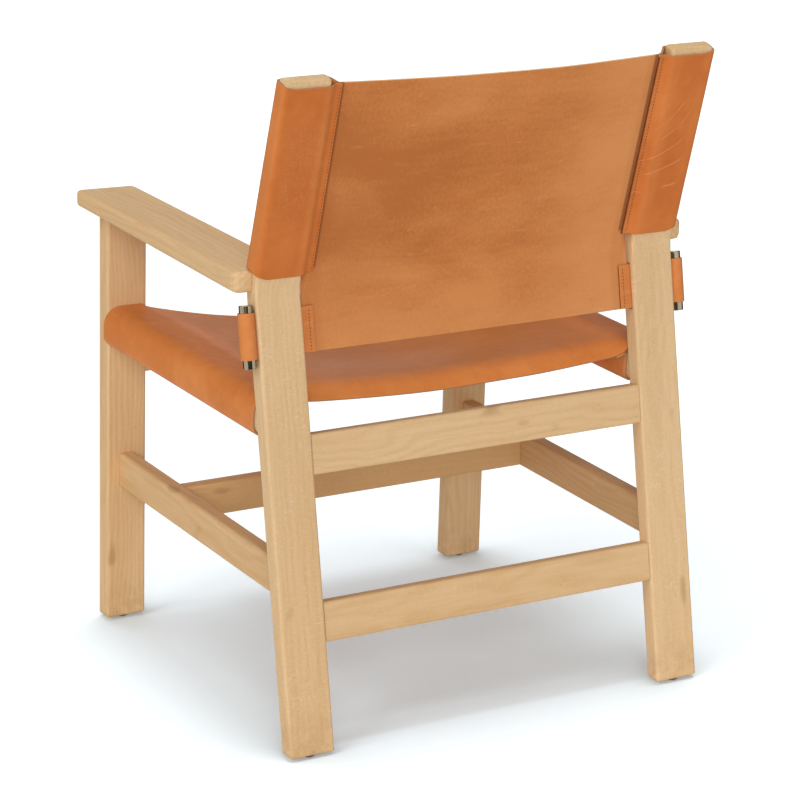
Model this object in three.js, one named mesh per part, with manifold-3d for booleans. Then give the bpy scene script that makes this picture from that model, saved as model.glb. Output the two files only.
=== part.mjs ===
// Leather sling lounge chair: an oak frame whose side rails and back posts carry two slings of saddle
// leather. The seat sling is sewn into a sleeve round each side rail. The back sling has a sleeve for each
// post, and a strap at each lower corner goes through a slot in the leg and is held by a steel rod.
//
// Millimetres, +Z up. The chair faces -Y, and +X is the sitter's left. The origin is on the floor under the
// middle of the chair's bounding box. Shapes are made for the left side, and the right side is their mirror.

import * as THREE from 'three';
import { mergeVertices } from 'three/addons/utils/BufferGeometryUtils.js';
import Module from 'manifold-3d';

const wasm = await Module();
wasm.setup();

// Driving dimensions of the frame
const overallDepth = 537;          // arm's front end to the rear foot
const innerSpan = 460;             // between the inner faces of each pair of legs
const gliderHeight = 4;            // wood stands this far off the floor
const edgeRound = 3;               // rounded long edges of legs and arms
const railRound = 3.5;             // rounded long edges of rails and stretchers

const frontLegWidth = 54;
const frontLegDepth = 26;
const rearLegWidth = 59;

// Rear leg in side view: a raked leg below the kink, a leaning back post above it
const kinkHeight = 542;
const kinkSetback = 105;           // kink's rear corner ahead of the foot's rear corner
const postTopHeight = 792;         // rear edge of the post's top
const postLean = 64.5;             // top's rear edge behind the kink's
const footThickness = 22;
const kinkThickness = 24;
const postTopThickness = 18;
const kinkBlend = 14;              // length over which the kink is eased, each way
const profileRound = 3.5;          // corners of the leg's foot in side view
const postTopRound = 5;            // corners of the post's top in side view
const postCrown = 1.5;             // post's top falls this much to its two sides
const crownSteps = 8;

// Armrests
const armTopHeight = 567;          // at the front end
const armDrop = 5;                 // fall from the front end to the back
const armThickness = 20;           // at the front end
const armRearThickness = 24.8;
const armWidth = 77.5;
const armInset = 3.7;              // arm's inner edge outside the legs' inner faces
const armOverhang = 10.5;          // arm's outer corner past the front leg's front face
const armFrontSkew = 5.5;          // front end runs back this much to the inner corner
const armFrontEase = 0.4;          // lost to the feet's and the corner's rounding
const armLap = 17;                 // outer part runs this far back beside the rear leg
const armFrontRound = 8;           // corners in plan
const armRearRound = 12;
const armEdgeRound = 4;

// Cross rails and stretchers
const frontRailThickness = 18;
const frontRailHeight = 43.5;
const frontRailBottom = 328.5;
const frontRailSetback = 4;        // behind the legs' front faces
const backRailThickness = 20;
const backRailHeight = 48;
const backRailInset = 2;           // ahead of the rear legs' rear faces
const upperBackRailTop = 371.5;    // height of the top rear edge
const lowerBackRailTop = 178;
const sideStretcherThickness = 20;
const sideStretcherHeight = 45;
const sideStretcherTop = 226.5;    // at the front leg
const sideStretcherDrop = 8;       // fall from the front leg to the rear leg
const crossStretcherThickness = 20;
const crossStretcherHeight = 43;
const crossStretcherSetback = 147; // rear face behind the front legs' rear faces
const crossStretcherStep = 1.5;    // top below the side stretchers' tops

// Seat side rails, hidden in the leather
const seatRailWidth = 52.8;
const seatRailHeight = 43.7;
const seatRailTop = 418;           // at the front leg
const seatRailFall = 5;            // fall from the front leg to the rear leg
const seatRailInset = 3.5;         // inner face outside the legs' inner faces
const seatRailRound = { topIn: 14, topOut: 20, bottomOut: 10, bottomIn: 6 };
const seatRailSteps = { topIn: 4, topOut: 5, bottomOut: 3, bottomIn: 2 };

// Joinery
const tenonLength = 14;
const longTenonLength = 25;
const tenonShoulder = 4.5;         // rail's surface to the tenon's
const seatTenonShoulder = 7;       // deeper, because the seat rail's corners are rounder
const topTenonHeight = 12;
const topTenonShoulder = 6;
const dowelRadius = 4;
const dowelInLeg = 12;
const dowelInArm = 26;
const dowelSpacing = 30;

// Leather
const seatLeather = 3;
const backLeather = 2.5;
const strapLeather = 1.8;

// Seat sling
const seatSagFront = 36;           // sag of the middle between the rails
const seatSagRear = 10.5;
const seatRiseLength = 166;        // the sag eases off over this length ahead of the rear lip
const rearLipDrop = 14;
const rearLipLength = 26;
const frontLipDrop = 6;
const frontLipLength = 20;
const seatRearEnd = 6.5;           // sleeve's end ahead of the rear leg, at the rail's mid height
const seatFlatOnRail = 6;          // leather leaves the rail's flat top this far out of the inner face
const seatFlapLap = 14;            // sleeve's flap lies under the seat for this width
const seatSagPower = 1.12;
const lipInset = 5;                // lips fade out this far out of the rail's inner face
const lipPower = 30;

// Back sling
const sleeveTopGap = 8.2;          // post's top to the leather's
const sleeveFrontLift = 3.8;       // front layer stands this much higher than the rear one
const sleeveArmGap = 0.6;          // leather's lower end above the arm
const sleeveHang = 5.5;            // rear layer hangs this much lower than the front one
const seamInset = 15.5;            // flap's sewn edge inside the leg's inner face
const frontLayerInset = 10.3;      // front layer starts towards the post this far inside the leg
const frontLayerBend = 4;          // and is halfway to the post's front this far inside it
const rearLayerBend = 7.8;         // rear layer reaches the flap's depth this far inside the leg
const frontWrapFrom = 150;         // degrees round the post's inner corners where the layers touch
const rearWrapTo = -135;
const flapDepth = 4.7;             // flap's middle ahead of the post's rear face, at the seam
const upperBow = 10.5;             // panel bowed rearward in the middle, at the top
const lowerBow = 6;
const panelDrop = 78;              // panel's lower edge below the kink
const panelSideGap = 3.3;          // panel's lower corners inside the legs' inner faces
const panelBendBelow = 21;         // panel's bend ends this far below the kink
const panelEdgeLift = 10;          // panel's free edge starts this far ahead, under the front layer

// Straps and rods
const slotDepth = 9;               // slot's middle ahead of the leg's rear face
const strapHeight = 54;
const strapTabWidth = 14;          // strap's layers lap the panel
const layerGap = 0.4;              // between the strap's layers in the slot
const slotClearance = 1.2;
const rodRadius = 7.8;
const rodLength = 73.5;
const rodChamfer = 0.8;
const rodStandoff = 1.6;           // rod's side to the leg's outer face
const rodDrop = 1;                 // rod's middle below the strap's
const loopOpening = 162;           // degrees from the rod's far side to where the loop closes

// Glides
const gliderRadius = 7.5;
const gliderFlatRadius = 5;
const gliderShankRadius = 1.5;
const gliderShankLength = 16;

const fitGap = 0.3;                // between pieces that touch
const overrun = 1;                 // cutters run past what they cut

// Counts
const cornerSteps = 3;
const innerCornerSteps = 2;
const easeSteps = 2;
const loopSteps = 16;
const roundSides = 28;
const bevelSteps = 2;
const panelShares = [1, 0.93, 0.75, 0.5, 0.25, 0];
const sheetShares = [0.985, 0.965, 0.92, 0.8, 0.6, 0.3, 0];
const sleeveRowShares = [1, 0.66, 0.33, 0];
const bendShares = [0.25, 0.5, 0.75, 1];
const lipShares = [0, 0.3, 0.65, 1];
const seatRowShares = [0.25, 0.5, 0.75, 1];

// Derived places in the frame
const frontLegFrontY = -overallDepth / 2 + armOverhang;
const frontLegRearY = frontLegFrontY + frontLegDepth;
const innerX = innerSpan / 2;
const panelBottomHeight = kinkHeight - panelDrop;
const frontLegOuterX = innerX + frontLegWidth;
const rearLegOuterX = innerX + rearLegWidth;

// Side view points are Vector2 with x = world Y and y = world Z
const flat = (y, z) => new THREE.Vector2(y, z);
const footRear = flat(overallDepth / 2, gliderHeight);
const kinkRear = flat(overallDepth / 2 - kinkSetback, kinkHeight);
const topRear = flat(kinkRear.x + postLean, postTopHeight);
const footFront = flat(footRear.x - footThickness, gliderHeight);
const kinkFront = flat(kinkRear.x - kinkThickness, kinkHeight);
const legUp = kinkRear.clone().sub(footRear).normalize();
const postUp = topRear.clone().sub(kinkRear).normalize();
const legAhead = flat(-legUp.y, legUp.x);
const postAhead = flat(-postUp.y, postUp.x);
const topFront = topRear.clone().addScaledVector(postAhead, postTopThickness);
const postLength = topRear.distanceTo(kinkRear);

const rearFaceY = (z) => THREE.MathUtils.mapLinear(z, footRear.y, kinkRear.y, footRear.x, kinkRear.x);
const frontFaceY = (z) => THREE.MathUtils.mapLinear(z, footFront.y, kinkFront.y, footFront.x, kinkFront.x);

// Axis sets for extruded outlines: the outline's x, its y, then the extrusion
const X = new THREE.Vector3(1, 0, 0);
const Y = new THREE.Vector3(0, 1, 0);
const Z = new THREE.Vector3(0, 0, 1);
const inSpace = (v) => new THREE.Vector3(0, v.x, v.y);
const sideView = [Y, Z, X];
const frontView = [Z, X, Y];
const planView = [X, Y, Z];

function placed(geometry, [a, b, c], origin) {
  geometry.applyMatrix4(new THREE.Matrix4().makeBasis(a, b, c).setPosition(origin));
  return geometry;
}

// Points of an arc, angles in degrees
function arc(cx, cy, radius, from, to, steps) {
  return Array.from({ length: steps + 1 }, (_, i) => {
    const angle = THREE.MathUtils.degToRad(from + ((to - from) * i) / steps);
    return new THREE.Vector2(cx + radius * Math.cos(angle), cy + radius * Math.sin(angle));
  });
}

// A box outline from low to high corner, each corner rounded by its own radius, anticlockwise
function roundedBox(low, high, radii, steps) {
  const [r1, r2, r3, r4] = radii;
  return [
    ...arc(low.x + r1, low.y + r1, r1, 180, 270, steps),
    ...arc(high.x - r2, low.y + r2, r2, 270, 360, steps),
    ...arc(high.x - r3, high.y - r3, r3, 0, 90, steps),
    ...arc(low.x + r4, high.y - r4, r4, 90, 180, steps),
  ];
}

// Each corner of an outline eased by a parabola that starts and ends the given length away from it
function easedOutline(corners, lengths, steps = easeSteps) {
  const out = [];
  corners.forEach((corner, i) => {
    const before = corners[(i + corners.length - 1) % corners.length];
    const after = corners[(i + 1) % corners.length];
    const start = corner.clone().addScaledVector(before.clone().sub(corner).normalize(), lengths[i]);
    const end = corner.clone().addScaledVector(after.clone().sub(corner).normalize(), lengths[i]);
    out.push(...new THREE.QuadraticBezierCurve(start, corner, end).getPoints(steps));
  });
  return out;
}

// An outline extruded straight, or with every edge of its two ends rounded
function extruded(outline, length, axes, origin, round = 0) {
  const geometry = new THREE.ExtrudeGeometry(new THREE.Shape(outline), {
    depth: length - 2 * round,
    bevelEnabled: round > 0,
    bevelThickness: round,
    bevelSize: round,
    bevelOffset: -round,
    bevelSegments: bevelSteps,
  });
  geometry.translate(0, 0, round);
  return placed(geometry, axes, origin);
}

function solidOf(geometry) {
  geometry.deleteAttribute('normal');
  geometry.deleteAttribute('uv');
  const merged = mergeVertices(geometry);
  const vertProperties = new Float32Array(merged.attributes.position.array);
  const triVerts = new Uint32Array(merged.index.array);
  return new wasm.Manifold(new wasm.Mesh({ numProp: 3, vertProperties, triVerts }));
}

function geometryOf(solid) {
  const mesh = solid.getMesh();
  const geometry = new THREE.BufferGeometry();
  geometry.setAttribute('position', new THREE.BufferAttribute(mesh.vertProperties, 3));
  geometry.setIndex(new THREE.BufferAttribute(mesh.triVerts, 1));
  return geometry;
}

function mirrored(geometry) {
  const copy = geometry.clone().scale(-1, 1, 1);
  const index = copy.index.array;
  for (let i = 0; i < index.length; i += 3) [index[i], index[i + 1]] = [index[i + 1], index[i]];
  return copy;
}

// A block from low to high corner; grow widens it on every side, as a mortise is wider than its tenon
function block(low, high, grow = 0) {
  const size = high.clone().sub(low).addScalar(2 * grow);
  const centre = high.clone().add(low).multiplyScalar(0.5);
  return solidOf(new THREE.BoxGeometry(size.x, size.y, size.z).translate(centre.x, centre.y, centre.z));
}

// A block in the raked leg's own axes: x across, ahead of the rear face, and up from the kink
function rakedBlock(x, ahead, up, grow = 0) {
  const size = [x, ahead, up].map(([low, high]) => high - low + 2 * grow);
  const middle = [x, ahead, up].map(([low, high]) => (low + high) / 2);
  const origin = inSpace(kinkRear);
  const axes = [X, inSpace(legAhead).negate(), inSpace(legUp)];
  const box = new THREE.BoxGeometry(...size).translate(middle[0], -middle[1], middle[2]);
  return solidOf(placed(box, axes, origin));
}

const point = (x, y, z) => new THREE.Vector3(x, y, z);

// Tenons are [low, high] corner pairs, shared by the piece that has the tenon and the one with the mortise
const seatRailLow = seatRailTop - seatRailHeight;
const seatRailInnerX = innerX + seatRailInset;
const seatRailOuterX = seatRailInnerX + seatRailWidth;
const sideStretcherX = innerX + (frontLegWidth - sideStretcherThickness) / 2;
const stretcherRearTop = sideStretcherTop - sideStretcherDrop;

const tenonAlongY = (x, fromY, z, toY, shoulder) => [
  point(x[0] + shoulder, fromY, z[0] + shoulder),
  point(x[1] - shoulder, toY, z[1] - shoulder),
];
const seatRailX = [seatRailInnerX, seatRailOuterX];
const seatRailZ = [seatRailLow, seatRailTop];
const seatRailRearZ = seatRailZ.map((z) => z - seatRailFall);
const stretcherX = [sideStretcherX, sideStretcherX + sideStretcherThickness];
const stretcherFrontZ = [sideStretcherTop - sideStretcherHeight, sideStretcherTop];
const stretcherRearZ = [stretcherRearTop - sideStretcherHeight, stretcherRearTop];
const frontTenonY = frontLegRearY - tenonLength;
const rearTenonY = (z) => frontFaceY((z[0] + z[1]) / 2) + tenonLength;
const insideFront = frontLegRearY + tenonLength;
const insideRear = (z) => frontFaceY(z[1]) - tenonLength;
const tenons = {
  seatRailFront: tenonAlongY(seatRailX, frontTenonY, seatRailZ, insideFront, seatTenonShoulder),
  seatRailRear: tenonAlongY(
    seatRailX, insideRear(seatRailRearZ), seatRailRearZ, rearTenonY(seatRailRearZ), seatTenonShoulder,
  ),
  stretcherFront: tenonAlongY(stretcherX, frontTenonY, stretcherFrontZ, insideFront, tenonShoulder),
  stretcherRear: tenonAlongY(
    stretcherX, insideRear(stretcherRearZ), stretcherRearZ, rearTenonY(stretcherRearZ), tenonShoulder,
  ),
};
const frontRailY = [
  frontLegFrontY + frontRailSetback,
  frontLegFrontY + frontRailSetback + frontRailThickness,
];
const frontRailTop = frontRailBottom + frontRailHeight;
const frontRailTenon = [
  point(-innerX - longTenonLength, frontRailY[0] + tenonShoulder, frontRailBottom + tenonShoulder),
  point(innerX + longTenonLength, frontRailY[1] - tenonShoulder, frontRailTop - tenonShoulder),
];

// Back rails lie along the raked legs: spans ahead of the rear face, and up from the kink
const backRailAhead = [backRailInset, backRailInset + backRailThickness];
const alongLeg = (z) => (z - kinkHeight) / legUp.y;
const backRailSpan = (topHeight) => [alongLeg(topHeight) - backRailHeight, alongLeg(topHeight)];
const backRailTenon = (span, grow = 0) => rakedBlock(
  [-innerX - longTenonLength, innerX + longTenonLength],
  [backRailAhead[0] + tenonShoulder, backRailAhead[1] - tenonShoulder],
  [span[0] + tenonShoulder, span[1] - tenonShoulder],
  grow,
);

// Armrest: a board that falls slightly to the rear, where it is also thicker
const armFrontY = -overallDepth / 2 + armFrontEase;
const armRearY = frontFaceY(kinkHeight) + armLap;
const armSlope = Math.atan2(armDrop, armRearY - armFrontY);
const armTopAt = (y) => armTopHeight - (y - armFrontY) * Math.tan(armSlope);
const armThicknessAt = (y) => THREE.MathUtils.mapLinear(
  y, armFrontY, armRearY, armThickness, armRearThickness,
);
const dowelHeight = armTopHeight - armDrop - armRearThickness / 2;
const armX = [innerX + armInset, innerX + armInset + armWidth];
const dowelX = [-1, 1].map((side) => innerX + (rearLegWidth + side * dowelSpacing) / 2);
const frontLegTop = armTopAt(frontLegRearY) - armThicknessAt(frontLegRearY) - fitGap;
const topTenon = [
  point(innerX + topTenonShoulder, frontLegFrontY + topTenonShoulder, frontLegTop - topTenonHeight),
  point(frontLegOuterX - topTenonShoulder, frontLegRearY - topTenonShoulder, frontLegTop + topTenonHeight),
];

// Slot for the back sling's strap, in the raked leg's own axes
const slotHalfWidth = strapLeather + layerGap / 2 + slotClearance;
const strapLow = alongLeg(panelBottomHeight);
const strapSpan = [strapLow, strapLow + strapHeight];

function gliderHole(x, y) {
  const hole = new THREE.CylinderGeometry(
    gliderShankRadius + fitGap, gliderShankRadius + fitGap, 2 * gliderShankLength, roundSides,
  );
  return solidOf(hole.rotateX(Math.PI / 2).translate(x, y, gliderHeight));
}

const rearGliderY = (footRear.x + footFront.x) / 2;
const frontGliderY = frontLegFrontY + frontLegDepth / 2;
const frontGliderX = innerX + frontLegWidth / 2;
const rearGliderX = innerX + rearLegWidth / 2;

function dowelHoles() {
  const y = frontFaceY(kinkHeight);
  return dowelX.map((x) => {
    const hole = new THREE.CylinderGeometry(
      dowelRadius + fitGap, dowelRadius + fitGap, dowelInLeg + dowelInArm + 2 * fitGap, roundSides,
    );
    return solidOf(hole.translate(x, y + (dowelInLeg - dowelInArm) / 2, dowelHeight));
  });
}

function rearLegProfile(grow = 0) {
  const corners = [footFront, footRear, kinkRear, topRear, topFront, kinkFront];
  const lengths = [profileRound, profileRound, kinkBlend, postTopRound, postTopRound, kinkBlend];
  const eased = easedOutline(corners, lengths);
  if (grow === 0) return eased;
  return corners.map((corner, i) => {
    const ahead = i === 0 || i > 3 ? -grow : grow;
    return flat(corner.x + ahead, corner.y);
  });
}

// The rear leg's full prism with clearance, which trims whatever butts against the leg
function legEnvelope() {
  const origin = point(innerX - fitGap, 0, 0);
  return solidOf(extruded(rearLegProfile(fitGap / legUp.y), rearLegWidth + 2 * fitGap, sideView, origin));
}

// What is cut off the post's top to crown it across its width, in the post's own axes
function crownOffcut() {
  const half = rearLegWidth / 2 + overrun;
  const lowest = (x) => postLength - postCrown * ((2 * x) / rearLegWidth) ** 2;
  const shares = Array.from({ length: crownSteps + 1 }, (_, i) => 1 - (2 * i) / crownSteps);
  const arch = shares.map((share) => flat(share * half, lowest(share * half)));
  const above = postLength + postCrown + overrun;
  const outline = [...arch, flat(-half, above), flat(half, above)].reverse();
  const axes = [X, inSpace(postUp), inSpace(postAhead)];
  const origin = inSpace(kinkRear).addScaledVector(axes[2], -overrun).setX(rearGliderX);
  return solidOf(extruded(outline, kinkThickness + 2 * overrun, axes, origin));
}

function rearLeg() {
  let solid = solidOf(extruded(rearLegProfile(), rearLegWidth, sideView, point(innerX, 0, 0), edgeRound));
  const cuts = [
    block(...tenons.seatRailRear, fitGap),
    block(...tenons.stretcherRear, fitGap),
    backRailTenon(backRailSpan(upperBackRailTop), fitGap),
    backRailTenon(backRailSpan(lowerBackRailTop), fitGap),
    rakedBlock(
      [innerX - overrun, rearLegOuterX + overrun],
      [slotDepth - slotHalfWidth, slotDepth + slotHalfWidth],
      [strapSpan[0] - slotClearance, strapSpan[1] + slotClearance],
    ),
    gliderHole(rearGliderX, rearGliderY),
    crownOffcut(),
    ...dowelHoles(),
  ];
  for (const cut of cuts) solid = solid.subtract(cut);
  return geometryOf(solid);
}

function frontLeg() {
  const outline = roundedBox(
    flat(frontLegFrontY, gliderHeight), flat(frontLegRearY, frontLegTop),
    [profileRound, profileRound, 0, 0], cornerSteps,
  );
  const board = extruded(uniquePoints(outline), frontLegWidth, sideView, point(innerX, 0, 0), edgeRound);
  let solid = solidOf(board).add(block(...topTenon));
  const cuts = [
    block(...tenons.seatRailFront, fitGap),
    block(...tenons.stretcherFront, fitGap),
    block(...frontRailTenon, fitGap),
    gliderHole(frontGliderX, frontGliderY),
  ];
  for (const cut of cuts) solid = solid.subtract(cut);
  return geometryOf(solid);
}

function uniquePoints(outline) {
  return outline.filter((p, i) => p.distanceTo(outline[(i + 1) % outline.length]) > 0);
}

// The board is drawn level with its top at zero, thickened towards the rear, and then tilted
function armrest() {
  const [inner, outer] = armX;
  const length = armRearY - armFrontY;
  const corners = [flat(inner, armFrontSkew), flat(outer, 0), flat(outer, length), flat(inner, length)];
  const rounds = [armFrontRound, armFrontRound, armRearRound, armRearRound];
  const outline = easedOutline(corners, rounds, cornerSteps);
  const board = extruded(outline, armThickness, planView, point(0, 0, -armThickness), armEdgeRound);
  const places = board.attributes.position;
  for (let i = 0; i < places.count; i++) {
    places.setZ(i, (places.getZ(i) * armThicknessAt(armFrontY + places.getY(i))) / armThickness);
  }
  board.rotateX(-armSlope).translate(0, armFrontY, armTopHeight);
  let solid = solidOf(board).subtract(legEnvelope()).subtract(block(...topTenon, fitGap));
  for (const hole of dowelHoles()) solid = solid.subtract(hole);
  return geometryOf(solid);
}

const dowelLength = dowelInLeg + dowelInArm;
const dowel = () => new THREE.CylinderGeometry(dowelRadius, dowelRadius, dowelLength, roundSides);

// How much lower the seat rail is at a place along it than at the front leg
const seatRailLength = frontFaceY((seatRailRearZ[0] + seatRailRearZ[1]) / 2) - frontLegRearY;
const seatFall = (y) => ((y - frontLegRearY) * seatRailFall) / seatRailLength;

// The seat rail's four rounded corners in front view, x across and y up, clockwise from the inner top
function seatRailCorners(offset, fall = 0) {
  const { topIn, topOut, bottomOut, bottomIn } = seatRailRound;
  const steps = seatRailSteps;
  const [low, top] = [seatRailLow - fall, seatRailTop - fall];
  const corner = (x, z, radius, from, count) => arc(x, z, radius + offset, from, from - 90, count);
  return {
    topIn: corner(seatRailInnerX + topIn, top - topIn, topIn, 180, steps.topIn),
    topOut: corner(seatRailOuterX - topOut, top - topOut, topOut, 90, steps.topOut),
    bottomOut: corner(seatRailOuterX - bottomOut, low + bottomOut, bottomOut, 0, steps.bottomOut),
    bottomIn: corner(seatRailInnerX + bottomIn, low + bottomIn, bottomIn, -90, steps.bottomIn),
  };
}

function seatRail() {
  const outline = Object.values(seatRailCorners(0)).flat().map((p) => flat(p.y, p.x));
  const length = kinkRear.x - frontLegRearY + kinkSetback;
  const body = extruded(outline, length, frontView, point(0, fitGap, 0));
  const slant = new THREE.Matrix4().makeShear(0, 0, 0, -seatRailFall / seatRailLength, 0, 0);
  const bar = solidOf(body.applyMatrix4(slant).translate(0, frontLegRearY, 0)).subtract(legEnvelope());
  return geometryOf(frontPart(bar).add(block(...tenons.seatRailFront)).add(block(...tenons.seatRailRear)));
}

// What is left of a bar ahead of the rear leg, without the offcut behind it
function frontPart(bar) {
  const parts = bar.decompose();
  return parts.reduce((a, b) => (a.boundingBox().min[1] < b.boundingBox().min[1] ? a : b));
}

function sideStretcher() {
  const r = railRound;
  const outline = roundedBox(
    flat(-sideStretcherHeight, stretcherX[0]), flat(0, stretcherX[1]), [r, r, r, r], cornerSteps,
  );
  const run = frontFaceY(stretcherRearTop) - frontLegRearY;
  const slope = Math.atan2(sideStretcherDrop, run);
  const body = extruded(outline, run + kinkSetback, frontView, point(0, 0, 0));
  body.translate(0, -tenonLength, 0).rotateX(-slope).translate(0, frontLegRearY, sideStretcherTop);
  const frontCut = block(
    point(innerX - overrun, frontLegFrontY - tenonLength, 0),
    point(frontLegOuterX + overrun, frontLegRearY + fitGap, armTopHeight),
  );
  const bar = frontPart(solidOf(body).subtract(legEnvelope()).subtract(frontCut));
  const [low, high] = crossTenon();
  const joined = bar.add(block(...tenons.stretcherFront)).add(block(...tenons.stretcherRear));
  return geometryOf(joined.subtract(block(low, high, fitGap)));
}

const crossRearY = frontLegRearY + crossStretcherSetback;
const crossTop = THREE.MathUtils.mapLinear(
  crossRearY, frontLegRearY, frontFaceY(stretcherRearTop), sideStretcherTop, stretcherRearTop,
) - crossStretcherStep;
const crossY = [crossRearY - crossStretcherThickness, crossRearY];
const crossZ = [crossTop - crossStretcherHeight, crossTop];
const crossTenonLength = sideStretcherThickness - 2 * tenonShoulder;

function crossTenon() {
  const reach = sideStretcherX + crossTenonLength;
  return [
    point(-reach, crossY[0] + tenonShoulder, crossZ[0] + tenonShoulder),
    point(reach, crossY[1] - tenonShoulder, crossZ[1] - tenonShoulder),
  ];
}

// A bar across the chair between x limits, with its tenons
function crossBar(y, z, halfLength, tenon) {
  const r = railRound;
  const outline = roundedBox(flat(y[0], z[0]), flat(y[1], z[1]), [r, r, r, r], cornerSteps);
  const length = 2 * (halfLength - fitGap);
  const body = solidOf(extruded(outline, length, sideView, point(-halfLength + fitGap, 0, 0)));
  return geometryOf(body.add(block(...tenon)));
}

function backRail(topHeight) {
  const r = railRound;
  const span = backRailSpan(topHeight);
  const outline = roundedBox(
    flat(backRailAhead[0], span[0]), flat(backRailAhead[1], span[1]), [r, r, r, r], cornerSteps,
  );
  const axes = [inSpace(legAhead), inSpace(legUp), X.clone().negate()];
  const origin = inSpace(kinkRear).add(point(innerX - fitGap, 0, 0));
  const body = solidOf(extruded(outline, 2 * (innerX - fitGap), axes, origin));
  return geometryOf(body.add(backRailTenon(span)));
}

// A profile of [radius, height] pairs turned about the Y axis
function turned(profile) {
  return new THREE.LatheGeometry(profile.map(([r, h]) => new THREE.Vector2(r, h)), roundSides);
}

// A glide: a flat-bottomed head and a shank driven into the foot
function glider() {
  const headTop = gliderHeight - fitGap;
  const profile = [
    [0, 0], [gliderFlatRadius, 0], [gliderRadius, gliderHeight / 2], [gliderRadius, headTop],
    [gliderShankRadius, headTop], [gliderShankRadius, gliderShankLength], [0, gliderShankLength],
  ];
  return turned(profile).rotateX(Math.PI / 2);
}

// A rod along its own Y axis, its middle at the origin
function rod() {
  const half = rodLength / 2;
  const profile = [
    [0, -half], [rodRadius - rodChamfer, -half], [rodRadius, -half + rodChamfer],
    [rodRadius, half - rodChamfer], [rodRadius - rodChamfer, half], [0, half],
  ];
  return turned(profile);
}

// Sheet goods: a closed solid of even thickness about rows of middle points. keep says which cells exist.
function sheetSolid(rows, thickness, keep = () => true) {
  const rowCount = rows.length;
  const columnCount = rows[0].length;
  const step = (v, u, dv, du) => {
    const after = rows[Math.min(v + dv, rowCount - 1)][Math.min(u + du, columnCount - 1)];
    const before = rows[Math.max(v - dv, 0)][Math.max(u - du, 0)];
    return after.clone().sub(before);
  };
  const positions = [];
  const indexOf = new Map();
  const vertex = (v, u, side) => {
    const key = `${v},${u},${side}`;
    if (!indexOf.has(key)) {
      const down = keep(v, u) || keep(v, u - 1) ? 1 : 0;
      const along = down ? step(v, u, 1, 0) : step(Math.max(v - 1, 0), u, 1, 0);
      const normal = step(v, u, 0, 1).cross(along).normalize();
      const p = rows[v][u].clone().addScaledVector(normal, (side * thickness) / 2);
      indexOf.set(key, positions.length / 3);
      positions.push(p.x, p.y, p.z);
    }
    return indexOf.get(key);
  };
  const index = [];
  const quad = (a, b, c, d) => index.push(a, b, c, a, c, d);
  const kept = (v, u) => v >= 0 && u >= 0 && v < rowCount - 1 && u < columnCount - 1 && keep(v, u);
  for (let v = 0; v < rowCount - 1; v++) {
    for (let u = 0; u < columnCount - 1; u++) {
      if (!kept(v, u)) continue;
      const at = (dv, du, side) => vertex(v + dv, u + du, side);
      quad(at(0, 0, 1), at(0, 1, 1), at(1, 1, 1), at(1, 0, 1));
      quad(at(0, 0, -1), at(1, 0, -1), at(1, 1, -1), at(0, 1, -1));
      if (!kept(v - 1, u)) quad(at(0, 0, 1), at(0, 0, -1), at(0, 1, -1), at(0, 1, 1));
      if (!kept(v + 1, u)) quad(at(1, 1, 1), at(1, 1, -1), at(1, 0, -1), at(1, 0, 1));
      if (!kept(v, u - 1)) quad(at(1, 0, 1), at(1, 0, -1), at(0, 0, -1), at(0, 0, 1));
      if (!kept(v, u + 1)) quad(at(0, 1, 1), at(0, 1, -1), at(1, 1, -1), at(1, 1, 1));
    }
  }
  const geometry = new THREE.BufferGeometry();
  geometry.setAttribute('position', new THREE.Float32BufferAttribute(positions, 3));
  geometry.setIndex(index);
  return geometry;
}

const flipX = (p) => new THREE.Vector2(-p.x, p.y);

// Places from +half to -half, at the given shares of half on each side of the middle
function middleOut(shares, half) {
  const far = shares.slice(0, -1).reverse().map((share) => -share);
  return [...shares, ...far].map((share) => share * half);
}

// Seat sling: the upper middle surface between the rails at a place across and along the seat
const seatOffset = fitGap + seatLeather / 2;
const seatSheetX = seatRailInnerX + seatFlatOnRail;
const seatFrontY = frontLegRearY + fitGap;
const seatBackY = frontLegRearY + seatRailLength - seatRearEnd;

function seatMiddleZ(x, y) {
  const share = Math.min(Math.abs(x) / seatSheetX, 1);
  const lipShare = Math.min(Math.abs(x) / (seatRailInnerX + lipInset), 1);
  const fromRear = seatBackY - y;
  const rise = THREE.MathUtils.smoothstep(fromRear, rearLipLength, rearLipLength + seatRiseLength);
  const sag = THREE.MathUtils.lerp(seatSagRear, seatSagFront, rise);
  const rearLip = rearLipDrop * Math.max(1 - fromRear / rearLipLength, 0) ** 2;
  const frontLip = frontLipDrop * Math.max(1 - (y - seatFrontY) / frontLipLength, 0) ** 2;
  const drop = sag * (1 - share ** 2) ** seatSagPower + (rearLip + frontLip) * (1 - lipShare ** lipPower);
  return seatRailTop + seatOffset - drop - seatFall(y);
}

// One side's sleeve in front view, from the seat's edge round the rail to the flap's end
function seatSleevePath(y) {
  const o = seatOffset;
  const fall = seatFall(y);
  const corners = seatRailCorners(o, fall);
  const flapX = seatRailInnerX - o;
  const under = (x) => flat(x, seatMiddleZ(x, y) - seatLeather - fitGap);
  const turn = under(flapX);
  return [
    flat(seatSheetX, seatRailTop + o - fall),
    ...corners.topOut,
    ...corners.bottomOut,
    ...corners.bottomIn,
    flat(flapX, (seatRailLow + seatRailTop) / 2 - fall),
    flat(flapX, turn.y - seatLeather - o),
    flat(flapX - o / 2, turn.y - seatLeather / 2),
    under(flapX - seatLeather - o / 2),
    under(flapX - seatFlapLap),
  ];
}

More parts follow.
